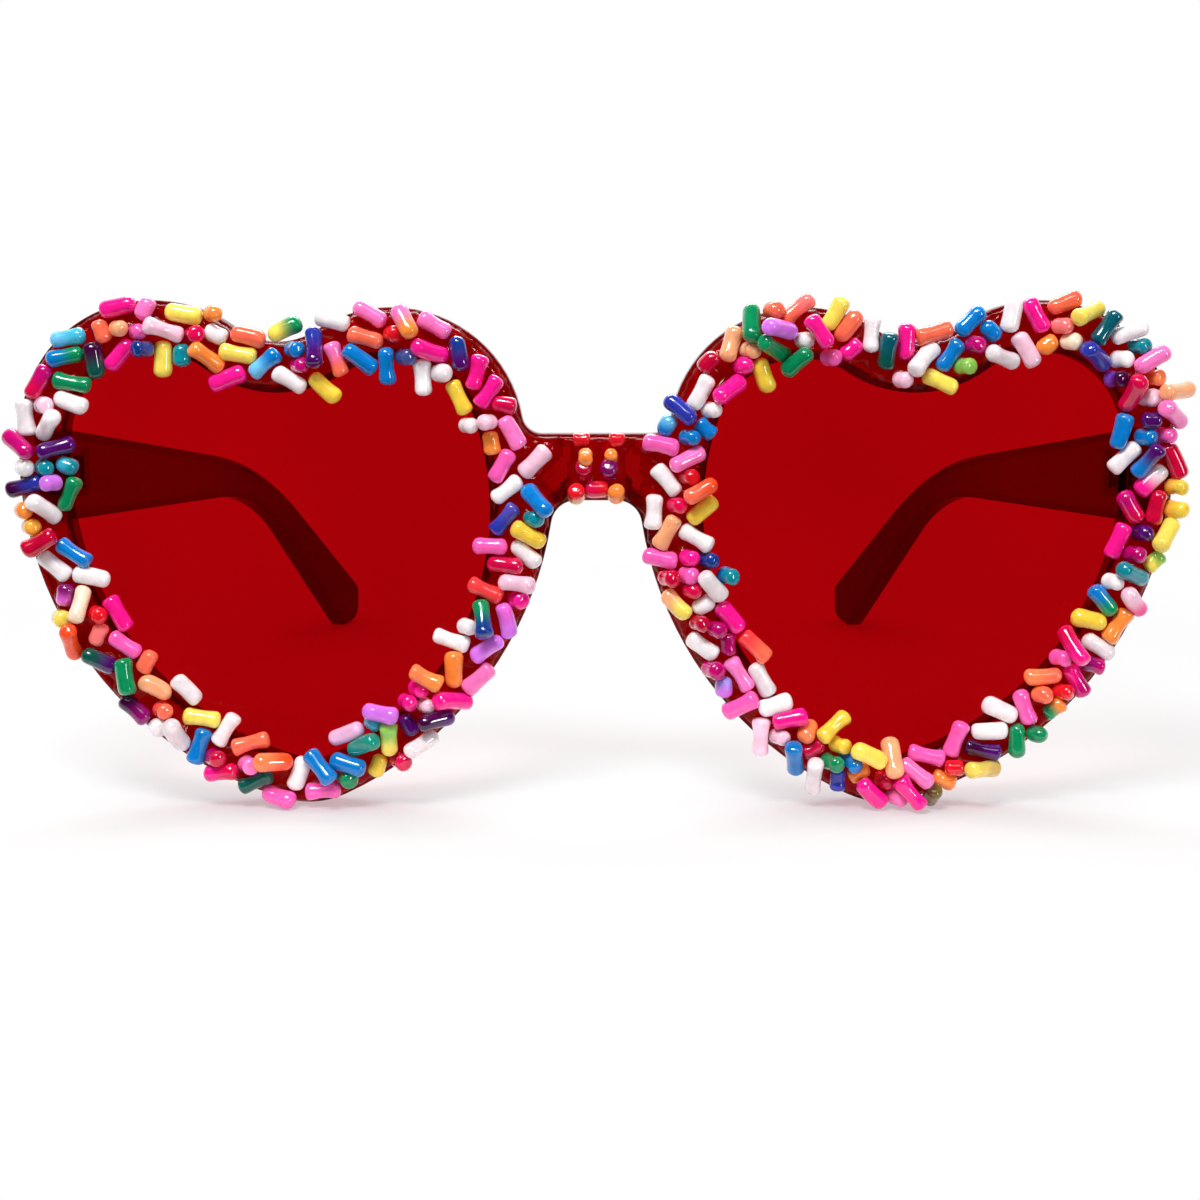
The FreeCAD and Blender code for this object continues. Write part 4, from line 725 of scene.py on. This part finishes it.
def glue_piece(name, node, beads):
    """A closed film round the beads, from a grid over the front's face."""
    across, up = [rod[0][0] for rod in beads], [rod[0][2] for rod in beads]
    low = Vector((min(across), 0.0, min(up))) - GLUE_MARGIN
    high = Vector((max(across), 0.0, max(up))) + GLUE_MARGIN
    wide = int((high[0] - low[0]) / GLUE_STEP) + 1
    tall = int((high[2] - low[2]) / GLUE_STEP) + 1
    grid = np.array([
        (low[0] + column * GLUE_STEP, low[2] + row * GLUE_STEP)
        for row in range(tall) for column in range(wide)])
    rise = glue_rise(grid, beads)
    base = glue_base(grid, rise)
    known = ~np.isnan(base) & (rise > LEAST_FILM)
    cells = []
    for row in range(tall - 1):
        for column in range(wide - 1):
            corner = row * wide + column
            four = (corner, corner + 1, corner + wide + 1, corner + wide)
            if all(known[list(four)]):
                cells.append(four)
    used, sides = {}, {}
    for four in cells:
        for index in range(4):
            used.setdefault(four[index], len(used))
            sides[four[index], four[(index + 1) % 4]] = True
    edge = [pair for pair in sides if (pair[1], pair[0]) not in sides]
    on_edge = {number for pair in edge for number in pair}
    top, bottom = [], []
    for number in used:
        x, z = grid[number]
        lift = -EDGE_DIP if number in on_edge else rise[number]
        top.append((x, base[number] - lift, z))
        bottom.append((x, base[number] + GLUE_SINK, z))
    count = len(used)
    faces = [tuple(used[number] for number in four) for four in cells]
    faces += [tuple(count + used[number] for number in reversed(four)) for four in cells]
    faces += [(used[b], used[a], count + used[a], count + used[b]) for a, b in edge]
    mesh = bpy.data.meshes.new(name)
    mesh.from_pydata(top + bottom, [], faces)
    thick = mesh.attributes.new("thick", "FLOAT", "POINT")
    thick.data.foreach_set("value", [min(1.0, rise[number] / GLUE_RISE) for number in used] * 2)
    piece = linked(name, mesh, glue_clear)
    smooth = piece.modifiers.new("smooth", "SMOOTH")
    smooth.factor, smooth.iterations = SMOOTH_FACTOR, SMOOTH_TURNS
    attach(piece, "front")
    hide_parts(node)


for part, beads in rods.items():
    glue_piece(f"glue_film_{part}", f"glue_{part}", beads)

# Floor: plain and pale, white in front and in the distance. What is seen of it is lifted towards white, and
# keeps the object's shadow; near the object the lift is darkened to a painted contact shadow.
FLOOR_HALF, FLOOR_FRONT = 3.0, -0.1
FLOOR_DROP = 0.18 * MM
WHITE_FROM, WHITE_AT = 0.12, 0.19
FRONT_WHITE_FROM = -0.084
FLOOR_GRAIN_PER_MM, FLOOR_GREYS = 0.02, (0.90, 0.94)
FLOOR_LIFT, FLOOR_MATT = 0.67, 0.235
# Painted contact shadow: how far the ambient occlusion looks, over which of its values it fades, its pinkish
# tint and its samples.
CONTACT_SHADOW_REACH, CONTACT_SHADOW_SPAN = 18.0 * MM, (0.35, 0.95)
CONTACT_SHADOW_TINT, CONTACT_SHADOW_SAMPLES = (0.72, 0.60, 0.64), 8


def floor_white():
    tree = Tree(bpy.data.materials.new("floor_white"))
    place = tree.place()
    reach = tree.add("ShaderNodeVectorMath", {"operation": "LENGTH"})
    tree.put(reach.inputs[0], place)
    far = tree.spread(reach.outputs["Value"], 0.0, 1.0, WHITE_FROM, WHITE_AT)
    near = tree.spread(tree.axes(place)["Y"], 1.0, 0.0, FLOOR_FRONT, FRONT_WHITE_FROM)
    seen = tree.math("MAXIMUM", tree.seen(), tree.ray("Is Glossy Ray"))
    grain = tree.spread(tree.noise(FLOOR_GRAIN_PER_MM, detail=3.0), 0.0, 1.0)
    colour = tree.blend(grain, *(grey(value) for value in FLOOR_GREYS))
    matt = tree.add("ShaderNodeBsdfDiffuse", Color=tree.blend(seen, colour, grey(FLOOR_MATT)))
    # A painted contact shadow: ambient occlusion darkens the seen lift in a pinkish tint near the object.
    contact_occlusion = tree.add("ShaderNodeAmbientOcclusion", {"samples": CONTACT_SHADOW_SAMPLES}, Distance=CONTACT_SHADOW_REACH)
    contact_shadow = tree.blend(tree.spread(contact_occlusion.outputs["AO"], 0.0, 1.0, *CONTACT_SHADOW_SPAN), CONTACT_SHADOW_TINT, WHITE)
    lift = tree.add("ShaderNodeEmission", Color=contact_shadow, Strength=tree.math("MULTIPLY", seen, FLOOR_LIFT))
    lifted = tree.add("ShaderNodeAddShader")
    for number, shader in enumerate((matt, lift)):
        tree.put(lifted.inputs[number], shader.outputs[0])
    glow = tree.add("ShaderNodeEmission", Color=WHITE, Strength=1.0)
    white = tree.math("MULTIPLY", seen, tree.math("MAXIMUM", far, near))
    return tree.finish(tree.mix(white, lifted.outputs[0], glow.outputs[0]))


floor_mesh = bpy.data.meshes.new("floor")
floor_mesh.from_pydata(
    [(-FLOOR_HALF, FLOOR_FRONT, 0.0), (FLOOR_HALF, FLOOR_FRONT, 0.0), (FLOOR_HALF, FLOOR_HALF, 0.0),
     (-FLOOR_HALF, FLOOR_HALF, 0.0)], [], [(0, 1, 2, 3)])
floor_mesh.materials.append(floor_white())
floor = bpy.data.objects.new("floor", floor_mesh)
scene.collection.objects.link(floor)
floor.location = (0.0, 0.0, -FLOOR_DROP)

# World: white where it is seen. For reflections it is white behind the object and dim on the camera's side,
# with a soft panel above the front. The spans are parts of a direction of length 1.
AMBIENT = 0.35
FRONT_DIM, BACK_WHITE, BACK_SPAN = 0.02, 1.0, (0.0, 0.5)
PANEL_GLOW = 4.5
PANEL_FOOT, PANEL_HEAD = (0.58, 0.66), (0.74, 0.82)
PANEL_AHEAD, PANEL_SIDE = (-0.3, 0.1), (0.30, 0.45)


def light_world():
    world = bpy.data.worlds.new("studio")
    scene.world = world
    tree = Tree(world)
    axes = tree.axes(tree.add("ShaderNodeTexCoord").outputs["Generated"])
    behind = tree.spread(axes["Y"], FRONT_DIM, BACK_WHITE, *BACK_SPAN)
    foot = tree.spread(axes["Z"], 0.0, PANEL_GLOW, *PANEL_FOOT)
    above = tree.math("MINIMUM", foot, tree.spread(axes["Z"], PANEL_GLOW, 0.0, *PANEL_HEAD))
    ahead = tree.spread(axes["Y"], 1.0, 0.0, *PANEL_AHEAD)
    middle = tree.spread(tree.math("ABSOLUTE", axes["X"]), 1.0, 0.0, *PANEL_SIDE)
    panel = tree.math("MULTIPLY", tree.math("MULTIPLY", above, ahead), middle)
    mirrored = tree.math("ADD", behind, panel)
    light = tree.blend(tree.ray("Is Glossy Ray"), grey(AMBIENT), mirrored)
    shown = tree.blend(tree.seen(), light, WHITE)
    ground = tree.add("ShaderNodeBackground", Strength=1.0, Color=shown)
    tree.add("ShaderNodeOutputWorld", Surface=ground.outputs[0])


light_world()

# Lamps: name, place, aim, width, height and power.
FRONT_MIDDLE = (0.0, -0.07, 0.035)
LAMPS = (
    ("key", (-0.08, -0.28, 0.34), FRONT_MIDDLE, 0.16, 0.10, 1.58),
    ("fill", (0.34, -0.40, 0.07), FRONT_MIDDLE, 0.05, 0.16, 0.55),
    ("top", (0.0, 0.20, 0.40), (0.0, 0.0, 0.0), 0.40, 0.14, 1.4),
)
for name, place, aim, width, height, power in LAMPS:
    data = bpy.data.lights.new(name, "AREA")
    data.shape = "RECTANGLE"
    data.size, data.size_y = width, height
    data.energy = power
    lamp = bpy.data.objects.new(name, data)
    scene.collection.objects.link(lamp)
    lamp.location = place
    lamp.rotation_euler = (Vector(aim) - Vector(place)).to_track_quat("-Z", "Y").to_euler()
